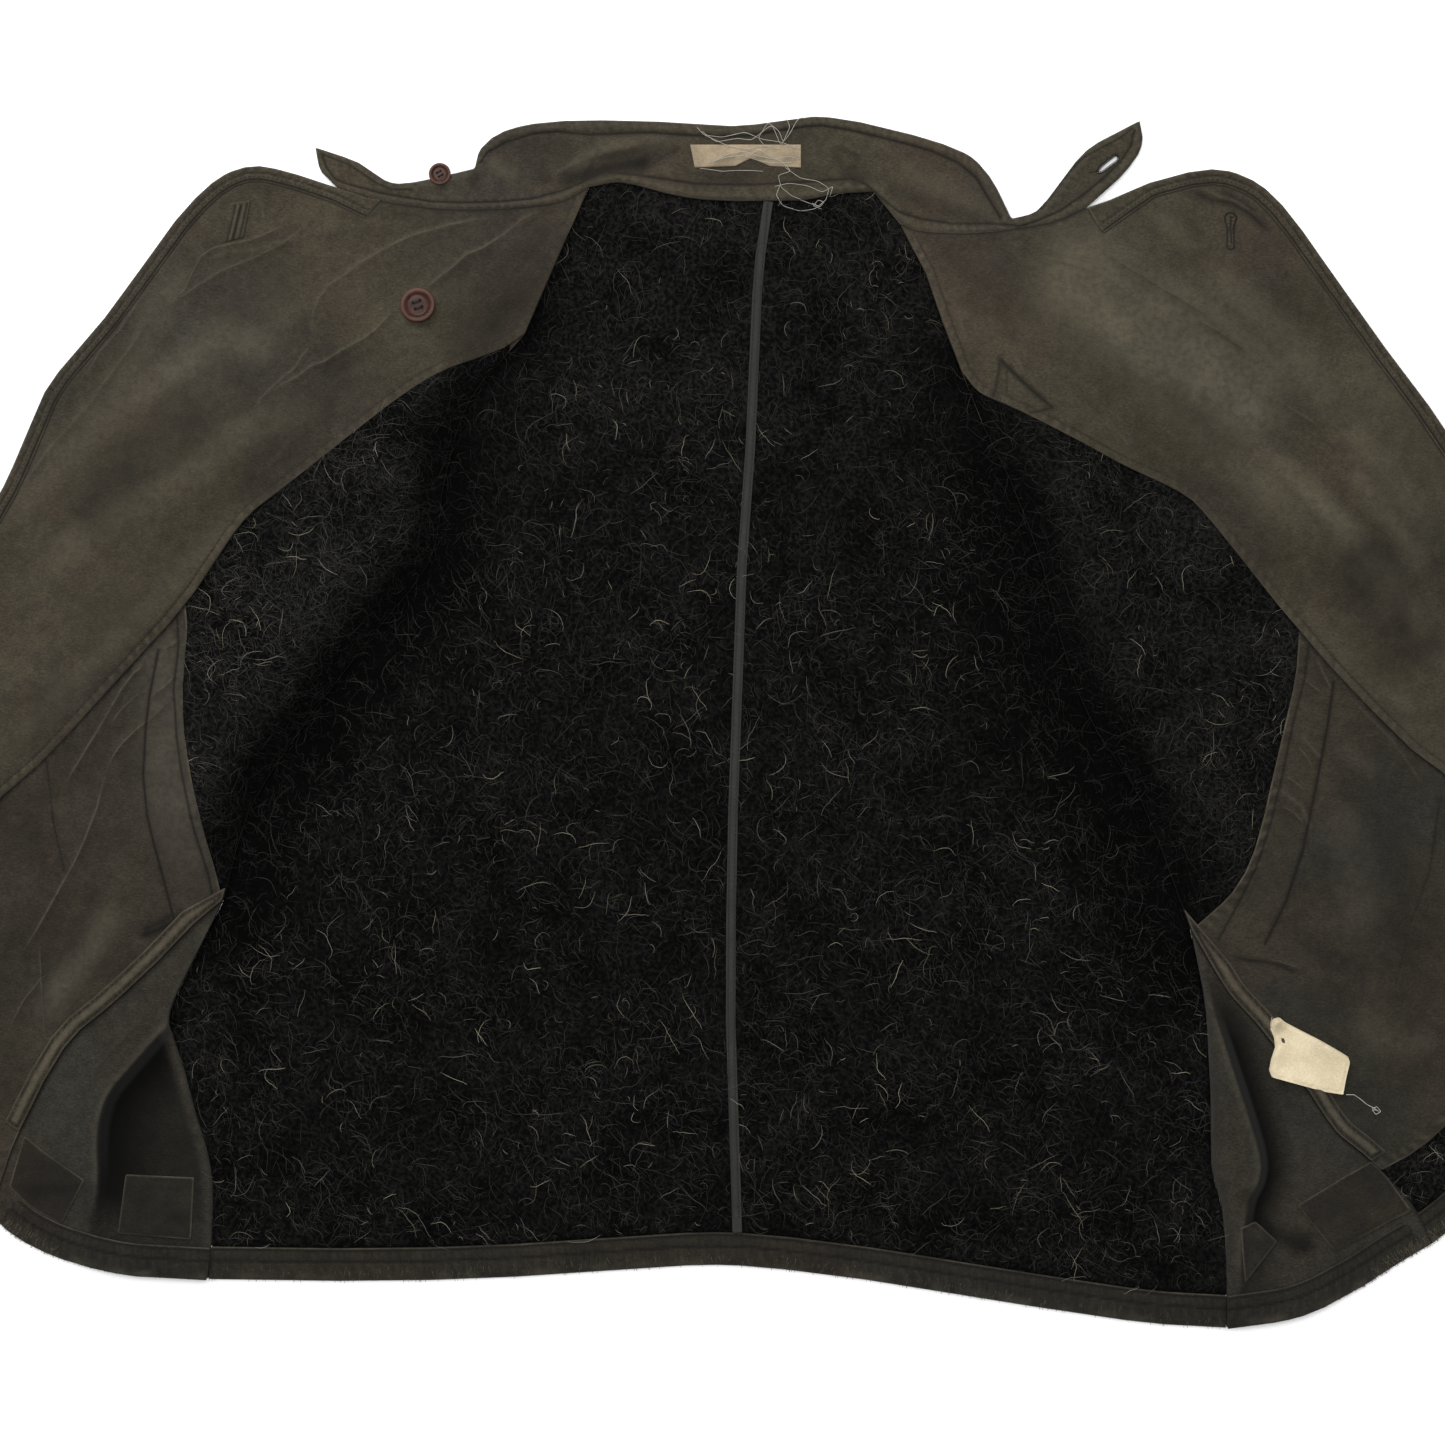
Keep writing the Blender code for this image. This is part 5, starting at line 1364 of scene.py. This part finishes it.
# %% Sew rows of stitches
def sew(name, rows, surface, length=2.3 * MM, gap=0.7 * MM, width=0.5 * MM, thread=dark_thread):
    """Rows of stitches as one piece, on the height that surface gives."""
    points, faces = [], []
    for row in rows:
        marks = evenly(row, length + gap)
        middle = (marks[1:] + marks[:-1]) / 2
        along = marks[1:] - marks[:-1]
        along /= np.maximum(np.hypot(*along.T), 1e-9)[:, None]
        across = np.stack([-along[:, 1], along[:, 0]], 1)
        height = surface(middle)
        ends = [middle - along * length / 2, middle + along * length / 2]
        sides = [middle + across * width / 2, middle - across * width / 2]
        six = [(ends[0], 0.0), (ends[1], 0.0), (sides[0], 0.12), (sides[1], 0.12), (middle, 0.32), (middle, -0.15)]
        start = sum(len(block) for block in points)
        block = np.stack([np.column_stack([p, height + z * MM]) for p, z in six], 1)
        points.append(block.reshape(-1, 3))
        for i in range(len(middle)):
            o = start + 6 * i
            faces += [(o, o + 3, o + 4), (o + 3, o + 1, o + 4), (o + 1, o + 2, o + 4), (o + 2, o, o + 4)]
            faces += [(o, o + 5, o + 3), (o + 3, o + 5, o + 1), (o + 1, o + 5, o + 2), (o + 2, o + 5, o)]
    places = np.vstack(points)
    none = np.zeros(len(places))
    piece = put(name, places, faces, thread, worn=none, sunk=none)
    print(name, len(faces) // 8, "stitches")
    return piece


def kept_on(ring, line, inset=0.6 * MM):
    """The longest run of a line that stays on a piece."""
    dense = evenly(line, 1.5 * MM)
    good = within(ring, dense) & (from_line(closed(ring), dense)[0] > inset)
    runs, run = [[]], []
    for place, ok in zip(dense, good):
        if ok:
            runs[-1].append(place)
        elif runs[-1]:
            runs.append([])
    return np.array(max(runs, key=len))


for side in SIDES:
    rows = [row[0] for row in FACING_ROWS[side][:1]]
    sew("stitches_facing_" + side, [kept_on(rims["facing_" + side], row) for row in rows], surfaces["facing_" + side])
    rows = [row[0] for row in PATCH_ROWS[side]]
    node = "pocket_patch_" + side
    sew("stitches_pocket_patch_" + side, [kept_on(rims[node], row) for row in rows], surfaces[node])
    inner = evenly(BAND_INNER[side], 5 * MM)
    node = "front_edge_band_" + side
    rows = [kept_on(rims[node], beside(inner, -TURN[side] * s * MM)) for s in (1.6, 3.4)]
    sew("stitches_front_edge_" + side, rows, surfaces[node])
    node = "side_seam_" + side
    ring = evenly(closed(rims[node]), 3 * MM)
    sew("stitches_side_seam_" + side, [kept_on(rims[node], beside(ring, 1.9 * MM))], surfaces[node])
for part, node in (("left", "front_hem_band_left"), ("right", "front_hem_band_right"), ("back", "back_hem_band")):
    rows = []
    for inset in (12.2, 19.2):
        tried = [kept_on(rims[node], beside(evenly(HEM_EDGES[part], 5 * MM), turn * inset * MM)) for turn in (1, -1)]
        rows.append(max(tried, key=len))
    sew("stitches_hem_" + part, rows, surfaces[node])
sew("stitches_collar", [kept_on(rims["collar_inner"], row[0]) for row in COLLAR_ROWS], surfaces["collar_inner"])
tape_top = lambda at: back_base(at) + WOOL_LAYER + 0.55 * MM
sew("stitches_centre_tape", [kept_on(rims["centre_back_tape"], beside(centre, s * 1.9 * MM)) for s in (-1, 1)],
    tape_top)

# %% [markdown]
# ## Kemp hair in the wool
# Coarse pale hairs stand out of the black wool, most short and faint, some long, bright and curled.
# Blender's hair system could grow them, but a flat ribbon per hair is lighter, the same each time, and
# stays with the mesh when it leaves Blender. Each hair is a random walk that keeps turning a little.

# %% Where hair can be seen
def seen_places(node, count, seed, hidden_by):
    """Random places on a piece that no other piece covers."""
    ring, dice = rims[node], np.random.default_rng(seed)
    low, high = ring.min(0), ring.max(0)
    kept = np.zeros((0, 2))
    while len(kept) < count:
        tried = dice.uniform(low, high, (count, 2))
        tried = tried[within(ring, tried)]
        for cover in hidden_by:
            tried = tried[~within(rims[cover], tried)]
        thick = 0.62 + 0.38 * rumple(tried, 38 * MM, seed + 1) + 0.25 * rumple(tried, 11 * MM, seed + 2)
        kept = np.vstack([kept, tried[dice.uniform(0, 1, len(tried)) < thick]])
    return kept[:count]


def grid_of(surface, ring, step=3 * MM):
    """A quick reader of heights: the surface measured once on a grid, and read between its points."""
    low = ring.min(0) - 3 * step
    counts = np.ceil((ring.max(0) + 3 * step - low) / step).astype(int) + 1
    grid = np.stack(np.meshgrid(*(low[i] + step * np.arange(counts[i]) for i in (0, 1)), indexing="ij"), -1)
    heights = surface(grid.reshape(-1, 2)).reshape(counts)

    def read(at):
        spot = np.clip((at - low) / step, 0, counts - 1.001)
        i, j = spot.astype(int).T
        u, v = (spot - np.floor(spot)).T
        near = heights[i, j] * (1 - u) + heights[i + 1, j] * u
        far = heights[i, j + 1] * (1 - u) + heights[i + 1, j + 1] * u
        return near * (1 - v) + far * v

    return read


# %% Grow the hairs
def hairs(name, node, roots, surface, joints, reach, seed, bright, spread=60.0, wide=0.34 * MM):
    """Curly ribbons at the roots: reach is the shortest and longest hair, bright the share of pale ones."""
    dice = np.random.default_rng(seed)
    count = len(roots)
    length = reach[0] + (reach[1] - reach[0]) * dice.beta(1.3, 3.2, count)
    heading = math.pi / 2 + np.radians(dice.normal(0, spread, count))
    bend = dice.normal(0, 0.62, count)
    wobble = dice.normal(0, 0.22, (count, joints)).cumsum(1)
    angle = heading[:, None] + bend[:, None] * np.linspace(-0.5, 1.5, joints)[None] + wobble
    step = (length / (joints - 1))[:, None, None] * np.stack([np.cos(angle), np.sin(angle)], -1)
    path = roots[:, None] + np.concatenate([np.zeros((count, 1, 2)), step[:, :-1].cumsum(1)], 1)
    across = np.stack([-np.sin(angle), np.cos(angle)], -1)
    taper = np.sin(np.pi * np.linspace(0.16, 0.94, joints)) ** 0.6
    half = wide / 2 * dice.uniform(0.65, 1.15, count)[:, None] * taper[None]
    arch = np.sin(np.pi * np.linspace(0, 1, joints))[None] * dice.uniform(0.1, 1.5, count)[:, None] * MM
    height = surface(path.reshape(-1, 2)).reshape(count, joints) + 0.35 * MM + arch
    sides = [
        np.concatenate([path + s * half[..., None] * across, (height + t * 0.05 * MM)[..., None]], -1)
        for s, t in ((1, 1), (-1, -1))
    ]
    points = np.stack(sides, 2).reshape(-1, 3)
    pale = np.where(dice.uniform(0, 1, count) < bright, dice.uniform(0.60, 1.0, count), dice.uniform(0.02, 0.5, count))
    shade = np.clip(0.12 + 0.88 * ease(open_to_light(roots) / (52 * MM)), 0, 1)
    pale = np.repeat(pale * shade, 2 * joints)
    first = (2 * joints * np.arange(count)[:, None] + 2 * np.arange(joints - 1)[None]).reshape(-1)
    faces = np.stack([first, first + 1, first + 3, first + 2], 1)
    piece = put(name, points, faces.tolist(), kemp, pale=pale)


def open_to_light(at):
    """How far a place is from the nearest valley, where the pile lies in shade."""
    return np.minimum(from_line(valleys["left"], at)[0], from_line(valleys["right"], at)[0])


OVER_BACK = ["front_shell_left", "front_shell_right", "back_hem_band", "collar_inner", "side_gusset_left",
             "side_gusset_right", "centre_back_tape"]
for side in SIDES:
    over_front = ["facing_" + side, "pocket_patch_" + side, "side_seam_" + side, "front_hem_band_" + side]
    for node, covers, short, long, seed in (
        ("back_wool_" + side, OVER_BACK, 9000, 2300, 200),
        ("front_wool_" + side, over_front, 2900, 800, 300),
    ):
        seed += SIDES.index(side) * 20
        read = grid_of(surfaces[node], rims[node])
        roots = seen_places(node, short, seed, covers)
        spread = 55 if node.startswith("back") else 85
        hairs("short_kemp_" + node, node, roots, read, 5, (3 * MM, 14 * MM), seed + 5, 0.03, spread, 0.16 * MM)
        roots = seen_places(node, long, seed + 9, covers)
        hairs("long_kemp_" + node, node, roots, read, 9, (10 * MM, 32 * MM), seed + 12, 0.11, spread, 0.19 * MM)

# %% [markdown]
# ## Loose threads and fray
# Where the label has frayed, long sewing threads lie in loops. A thread is a thin tube along a curve.
# The worn hem has let go of short ends of yarn, which are ribbons like the hairs, but in the cotton's colour.

# %% Loose threads
def thread(name, runs, surface, radius, material, slot, rise=1.2 * MM):
    """Thin five-sided tubes along smooth lines, lying on the height that surface gives."""
    points, faces = [], []
    for run in runs:
        marks = np.linspace(0, 1, 14 * len(run))
        knots = np.linspace(0, 1, len(run))
        line = np.stack([np.interp(marks, knots, run[:, i]) for i in (0, 1)], 1)
        for _ in range(9):
            line[1:-1] = (line[:-2] + 2 * line[1:-1] + line[2:]) / 4
        height = surface(line) + radius + rise * np.abs(np.sin(np.linspace(0, 3 * math.pi, len(line))))
        along = np.gradient(line, axis=0)
        along /= np.maximum(np.hypot(*along.T), 1e-9)[:, None]
        start = sum(len(block) for block in points)
        tube = []
        for turn in np.linspace(0, 2 * math.pi, 6)[:-1]:
            out, up = math.cos(turn) * radius, math.sin(turn) * radius
            tube.append(np.column_stack([line[:, 0] - along[:, 1] * out, line[:, 1] + along[:, 0] * out, height + up]))
        points.append(np.stack(tube, 1).reshape(-1, 3))
        for i in range(len(line) - 1):
            for k in range(5):
                a, b = start + 5 * i + k, start + 5 * i + (k + 1) % 5
                faces.append((a, b, b + 5, a + 5))
        faces.append(tuple(start + k for k in range(4, -1, -1)))
        last = start + 5 * (len(line) - 1)
        faces.append(tuple(last + k for k in range(5)))
    places = np.vstack(points)
    none = np.zeros(len(places))
    piece = put(name, places, faces, material, worn=none, sunk=none)
    print(name, len(runs), "threads")
    return piece


def highest_cloth(at):
    """The upper side of the collar, or of the back's wool where the collar has ended."""
    on_collar = within(rims["collar_inner"], at)
    return np.where(on_collar, collar_base(at) + 2 * LAYER + 0.8 * MM, back_base(at) + WOOL)


LOOSE = [
    "697,128 704,136 722,138 745,133 762,140 781,143 800,150",
    "702,132 716,143 738,139 752,141 772,125 781,147 790,128 786,118",
    "766,148 758,139 768,123 779,132 783,143 790,134 797,121 806,115",
    "748,157 759,150 771,158 783,163 791,172 778,176 781,188 792,197 806,202 818,206",
    "785,168 800,179 818,182 829,189 826,200 815,209 800,211 783,206 776,196 780,186",
    "700,169 722,172 744,171 763,172",
    "775,187 789,184 806,186 822,193 833,187 830,196",
    "705,136 726,146 746,150 764,146 780,150",
    "713,162 728,155 744,152 762,158 776,160 789,157 799,160",
    "708,164 726,158 742,156 757,161 774,164 792,163",
    "812,203 820,207 824,202 818,200 813,206 822,209",
]
thread("loose_threads_collar", [spots(run) for run in LOOSE], highest_cloth, 0.16 * MM, pale_thread, "label")
label_top = lambda at: right_seam_top(at) + 0.5 * MM
TAILS = ["1345,1094 1353,1094 1360,1099 1366,1104 1372,1107 1378,1111", "1371,1108 1376,1106 1380,1111 1375,1114 1371,1109 1377,1110",
         "1270,1016 1268,1024 1271,1031 1277,1030 1276,1022 1271,1018"]
thread("thread_tails_care_label", [spots(run) for run in TAILS], label_top, 0.22 * MM, pale_thread, "care_label", 0.8 * MM)

# %% Fray along the worn hem
def fray(name, edge, base, span, count, seed, outward):
    """Short ends of yarn across the hem's lower edge, on one span of its length."""
    dice = np.random.default_rng(seed)
    line = evenly(edge, 1 * MM)
    pick = (dice.uniform(*span, count) * (len(line) - 1)).astype(int)
    along = np.gradient(line, axis=0)[pick]
    along /= np.hypot(*along.T)[:, None]
    out = np.stack([along[:, 1], -along[:, 0]], 1) * outward
    joints = 4
    start = line[pick] - out * dice.uniform(0.5, 9, count)[:, None] * MM
    length = dice.uniform(1.2, 4.2, count)[:, None] * MM
    tilt = dice.normal(0, 0.28, (count, 1))
    way = out + along * tilt
    path = np.stack([start + way * length * t for t in np.linspace(0, 1, joints)], 1)
    beyond = np.einsum("ijk,ik->ij", path - line[pick][:, None], out)
    path -= out[:, None] * np.maximum(0, beyond - 1.0 * MM)[..., None]
    half = 0.17 * MM * np.linspace(1, 0.3, joints)[None, :, None]
    height = base + dice.uniform(0.0, 0.7, (count, 1)) * MM + np.zeros((1, joints))
    points = np.stack(
        [np.concatenate([path + s * half * along[:, None], height[..., None]], -1) for s in (1, -1)], 2
    ).reshape(-1, 3)
    first = (2 * joints * np.arange(count)[:, None] + 2 * np.arange(joints - 1)[None]).reshape(-1)
    faces = np.stack([first, first + 1, first + 3, first + 2], 1).tolist()
    worn = np.repeat(dice.uniform(0.1, 0.9, count), 2 * joints)
    piece = put(name, points, faces, edge_cotton, worn=worn, sunk=np.zeros(len(points)))
    print(name, count, "yarn ends")


fray("fray_hem_right", HEM_EDGES["right"], LAYER + 2.0 * MM, (0.42, 0.98), 1500, 401, -1)
fray("fray_hem_left", HEM_EDGES["left"], LAYER + 2.0 * MM, (0.55, 1.0), 700, 402, 1)
fray("fray_hem_back", HEM_EDGES["back"], LAYER + 3.2 * MM, (0.0, 1.0), 420, 403, 1)

# %% [markdown]
# ## Worked buttonhole and buttons
# The right front's keyhole buttonhole is a slit bound with close thread. The buttons are turned on a
# lathe: a half profile is spun, four holes are drilled, and two bars of thread tie each to the cloth.

# %% Keyhole buttonhole of the right front
KEYHOLE = spots("1227,248 1227.5,238 1228,229 1226,222 1225.5,216 1228,213 1233.5,213 1236.5,216.5 1235,222 1233,229 1233.5,238 1233.5,248 1230,250")
ring = evenly(closed(KEYHOLE), 0.7 * MM)
facing_top = lambda at: surfaces["facing_right"](at) + 0.12 * MM
sew("keyhole_binding", [ring, beside(ring, 0.6 * MM)], facing_top, 1.5 * MM, -0.55 * MM, 1.0 * MM)
slit = spots("1231,245 1231,238 1230,229 1231,219")
sew("keyhole_slit", [slit, spots("1230,217 1232,217")], lambda at: surfaces["facing_right"](at) + 0.05 * MM, 4 * MM, -2.0 * MM, 1.9 * MM)
tab_ring = evenly(closed(TAB_SLOT), 0.7 * MM)
sew("tab_buttonhole_binding", [tab_ring, beside(tab_ring, -0.7 * MM), spots("1097,171 1093,172 1089,173")],
    lambda at: surfaces["collar_inner"](at) + 0.05 * MM, 1.4 * MM, -0.6 * MM, 0.7 * MM)

# %% Turn the buttons
PROFILE = (
    (0.0, 0.62), (0.30, 0.60), (0.52, 0.60), (0.60, 0.64), (0.68, 0.80), (0.74, 0.94), (0.80, 1.0), (0.88, 1.0),
    (0.95, 0.92), (0.99, 0.76), (1.0, 0.58), (0.96, 0.38), (0.84, 0.16), (0.66, 0.02), (0.40, 0.0), (0.0, 0.0),
)


def turned(name, node, steps=72):
    """A four-hole button in the place, size and lean of its CAD solid."""
    cad = np.array([v.co[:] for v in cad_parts[node].data.vertices])
    middle = (cad.min(0) + cad.max(0)) / 2
    spread, axes = np.linalg.eigh(np.cov((cad - middle).T))
    up = Vector(axes[:, 0])
    if up.z < 0:
        up.negate()
    radius = float(np.abs((cad - middle) @ axes[:, 2]).max())
    away = (cad - middle) @ np.array(up)
    tall = float(away.max() - away.min())
    mesh = bpy.data.meshes.new(name)
    half = [(share * radius, 0.0, (level - 0.5) * tall) for share, level in PROFILE]
    mesh.from_pydata(half, [(i, i + 1) for i in range(len(half) - 1)], [])
    body = bpy.data.objects.new(name, mesh)
    collection.objects.link(body)
    spin = body.modifiers.new("spin", "SCREW")
    spin.steps = spin.render_steps = steps
    spin.use_merge_vertices = True
    spin.merge_threshold = 0.00001
    drills = []
    for x, y in ((1, 1), (-1, 1), (-1, -1), (1, -1)):
        drill = bmesh.new()
        bmesh.ops.create_cone(drill, cap_ends=True, segments=20, radius1=0.105 * radius, radius2=0.105 * radius, depth=3 * tall)
        bmesh.ops.translate(drill, verts=drill.verts, vec=(0.19 * radius * x, 0.19 * radius * y, 0.0))
        made = bpy.data.meshes.new("drill")
        drill.to_mesh(made)
        drill.free()
        tool = bpy.data.objects.new("drill", made)
        collection.objects.link(tool)
        bore = body.modifiers.new("bore", "BOOLEAN")
        bore.operation, bore.solver, bore.object = "DIFFERENCE", "EXACT", tool
        drills.append(tool)
    whole = bpy.data.meshes.new_from_object(body.evaluated_get(bpy.context.evaluated_depsgraph_get()))
    for spare in [body] + drills:
        bpy.data.objects.remove(spare, do_unlink=True)
    lean = up.to_track_quat("Z", "Y")
    points = [lean @ v.co + Vector(middle) for v in whole.vertices]
    away = np.array([math.hypot(v.co.x, v.co.y) / radius for v in whole.vertices])
    high = np.array([v.co.z / tall + 0.5 for v in whole.vertices])
    # Painted highlight: the pale ring on top of the rim, stored as the wear mark.
    worn = 0.7 * np.exp(-(((away - 0.93) / 0.05) ** 2)) * (high > 0.5)
    faces = [tuple(f.vertices) for f in whole.polygons]
    # Painted shade in the bottom of the dish, stored as the dark mark.
    button = put(name, points, faces, wine, worn=worn, sunk=0.8 * (away < 0.36) * (high < 0.55))
    edges = bmesh.new()
    edges.from_mesh(button.data)
    bmesh.ops.recalc_face_normals(edges, faces=edges.faces)
    edges.to_mesh(button.data)
    edges.free()
    button.data.set_sharp_from_angle(angle=math.radians(38))
    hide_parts(node)
    bars = []
    for y in (1, -1):
        ends = [lean @ Vector((x * 0.19 * radius, y * 0.19 * radius, 0.12 * tall)) + Vector(middle) for x in (-1, 1)]
        bars.append((ends, radius))
    return button, bars, lean


def bars_of_thread(name, bars, lean):
    """Two plump strands across a button's holes, and the pad of thread behind them."""
    points, faces = [], []
    (start, end), radius = bars[0]
    up = lean @ Vector((0, 0, 1))
    middle = (start + end + bars[1][0][0] + bars[1][0][1]) / 4 - up * float(0.10 * radius)
    for level in (0.0, -0.04):
        for turn in np.linspace(0, 2 * math.pi, 17)[:-1]:
            spoke = Vector((math.cos(turn), math.sin(turn), 0)) * float(0.4 * radius)
            points.append(middle + lean @ spoke + up * float(level * radius))
    faces += [tuple(range(16)), tuple(range(31, 15, -1))]
    faces += [(i, i + 16, (i + 1) % 16 + 16, (i + 1) % 16) for i in range(16)]
    for (start, end), radius in bars:
        along = end - start
        out = lean @ Vector((0, 1, 0))
        up = lean @ Vector((0, 0, 1))
        first = len(points)
        for share in np.linspace(0, 1, 9):
            middle = start + along * float(share) + up * float(0.055 * radius * (math.sin(math.pi * share) - 1.2 * (abs(share - 0.5) > 0.45)))
            for turn in np.linspace(0, 2 * math.pi, 9)[:-1]:
                points.append(middle + out * float(0.07 * radius * math.cos(turn)) + up * float(0.05 * radius * math.sin(turn)))
        for i in range(8):
            for k in range(8):
                a, b = first + 8 * i + k, first + 8 * i + (k + 1) % 8
                faces.append((a, b, b + 8, a + 8))
        faces += [tuple(first + k for k in range(7, -1, -1)), tuple(first + 64 + k for k in range(8))]
    none = np.zeros(len(points))
    piece = put(name, [p[:] for p in points], faces, dark_thread, worn=none, sunk=none)


for size in ("large", "small"):
    button, bars, lean = turned("turned_button_" + size, "button_" + size)
    bars_of_thread("thread_button_" + size, bars, lean)
    print("button", size, "leans", round(math.degrees((lean @ Vector((0, 0, 1))).angle(Vector((0, 0, 1)))), 1), "degrees")

# %% [markdown]
# ## Sleeves
# The sleeves lie flat under the fronts and come out beyond the photograph's edge, so they are finished
# plainly: a tube of cotton, pressed flat, with soft folded sides and a hemmed cuff. We sweep a flattened
# ring from the armhole to the cuff, once outside and once inside, and close the two at both ends.

# %% Sweep the sleeves
CUFFS = {"left": ((-773, -65), (-706, -177)), "right": ((773, -65), (706, -177))}
ARMHOLES = {
    "left": ((-217, 276), (-217, 218), (-218, 174), (-226, 104), (-274, 21)),
    "right": ((217, 276), (217, 218), (220, 174), (226, 104), (248, 21)),
}
CUFF_HEM = 28 * MM


def sleeve(side, across=64, along=110):
    top, low = (np.array(p) * MM for p in CUFFS[side])
    head = evenly(np.array(ARMHOLES[side], float) * MM, 4 * MM)
    marks = np.linspace(0, 1, len(head))
    turns = np.linspace(0, 2 * math.pi, across + 1)[:-1]
    shells, worn, sunk = [], [], []
    for wall in (0.0, 1.0):
        rows = []
        for share in np.linspace(0, 1, along):
            side_in = 0.4 * MM + wall * 2.2 * MM
            place = 0.5 - 0.5 * np.cos(turns)
            place = np.clip(place, 0, 1)
            start = np.stack([np.interp(place, marks, head[:, i]) for i in (0, 1)], 1)
            end = top + (low - top) * place[:, None]
            line = start + (end - start) * share
            width = np.hypot(*(line[across // 2] - line[0]))
            squeeze = 1 - 2 * side_in / width
            line = (line - (line[0] + line[across // 2]) / 2) * squeeze + (line[0] + line[across // 2]) / 2
            run = share * np.hypot(*(end.mean(0) - start.mean(0)))
            rest = np.hypot(*(end.mean(0) - start.mean(0))) - run
            puff = np.sign(np.sin(turns)) * np.abs(np.sin(turns)) ** 0.35
            tall = (SLEEVE_HEIGHT / 2 - 0.15 * MM) - wall * 1.3 * MM
            if wall:
                puff = np.clip(puff, -1, 1)
            soft = 0.5 * MM * rumple(line, 26 * MM, 501, 15, 2.5) * (puff > 0) * (1 - wall)
            row = swell(abs(rest - CUFF_HEM) / (1.0 * MM)) * (1 - wall)
            height = SLEEVE_HEIGHT / 2 + puff * tall + soft * (rest < 330 * MM) - 0.5 * MM * row * (puff > 0.4)
            rows.append(np.column_stack([line, np.clip(height, 0.02 * MM, None)]))
            worn.append(np.full(across, 0.0 if wall else 0.5 * max(0.0, 1 - rest / (1.5 * MM))))
            # Painted shade: the inner wall of the tube is darkened; the cuff row is darkened along its groove.
            sunk.append(np.full(across, 0.9 if wall else 0.6 * row))
        shells.append(np.stack(rows))
    points = np.concatenate([s.reshape(-1, 3) for s in shells])
    faces = []
    count = along * across
    for i in range(along - 1):
        for k in range(across):
            a, b = across * i + k, across * i + (k + 1) % across
            faces.append((a, b, b + across, a + across))
            faces.append((count + a + across, count + b + across, count + b, count + a))
    for i in (0, along - 1):
        for k in range(across):
            a, b = across * i + k, across * i + (k + 1) % across
            ends = (a, count + a, count + b, b)
            faces.append(ends if i == 0 else ends[::-1])
    if side == "left":
        faces = [f[::-1] for f in faces]
    piece = put("sleeve_cloth_" + side, points, faces, cotton, worn=np.concatenate(worn), sunk=np.concatenate(sunk))
    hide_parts("sleeve_" + side)


for side in SIDES:
    sleeve(side)

# %% [markdown]
# ## Table, light and camera
# The jacket lies on a plain pale table under broad soft light from above, a little stronger from the
# collar's side. The camera looks straight down with a long lens, framed like the photograph.

# %% Table
mesh = bpy.data.meshes.new("pale_table")
mesh.from_pydata([(x * 6, y * 6, -0.0004) for x, y in ((-1, -1), (1, -1), (1, 1), (-1, 1))], [], [(0, 1, 2, 3)])
table = bpy.data.objects.new("pale_table", mesh)
bpy.context.scene.collection.objects.link(table)
white, tree, shader = paint("pale_table", 0.9, gloss=0.1)
shader.inputs["Base Color"].default_value = (0.93, 0.93, 0.93, 1.0)
mesh.materials.append(white)

# %% Light
def softbox(name, place, size, power):
    lamp = bpy.data.lights.new(name, "AREA")
    lamp.shape = "RECTANGLE"
    lamp.size, lamp.size_y = size
    lamp.energy = power
    made = bpy.data.objects.new(name, lamp)
    made.location = place
    made.rotation_euler = Vector(place).to_track_quat("Z", "Y").to_euler()
    bpy.context.scene.collection.objects.link(made)


softbox("overhead", (-0.15, 0.35, 3.2), (2.4, 1.8), 102)
softbox("from_the_collar", (-0.9, 2.2, 1.7), (2.0, 1.2), 60)
world = bpy.data.worlds.new("studio")
bpy.context.scene.world = world
world.use_nodes = True
world.node_tree.nodes["Background"].inputs["Color"].default_value = (1.0, 1.0, 1.0, 1.0)
world.node_tree.nodes["Background"].inputs["Strength"].default_value = 0.36

# Plain sRGB keeps a white table white and black wool black, as in the photograph.
bpy.context.scene.view_settings.view_transform = "Standard"

# %% Camera, straight above
FRAME_WIDTH = 1445 * DOT
FRAME_MIDDLE = ((722.5 - MIDDLE[0]) * DOT, 0.0)
lens = bpy.data.cameras.new("long_lens")
lens.sensor_width = 36
lens.lens = 100
distance = FRAME_WIDTH * lens.lens / lens.sensor_width
camera = bpy.data.objects.new("long_lens", lens)
camera.location = (*FRAME_MIDDLE, distance + 0.005)
lens.clip_end = 50
bpy.context.scene.collection.objects.link(camera)
bpy.context.scene.camera = camera
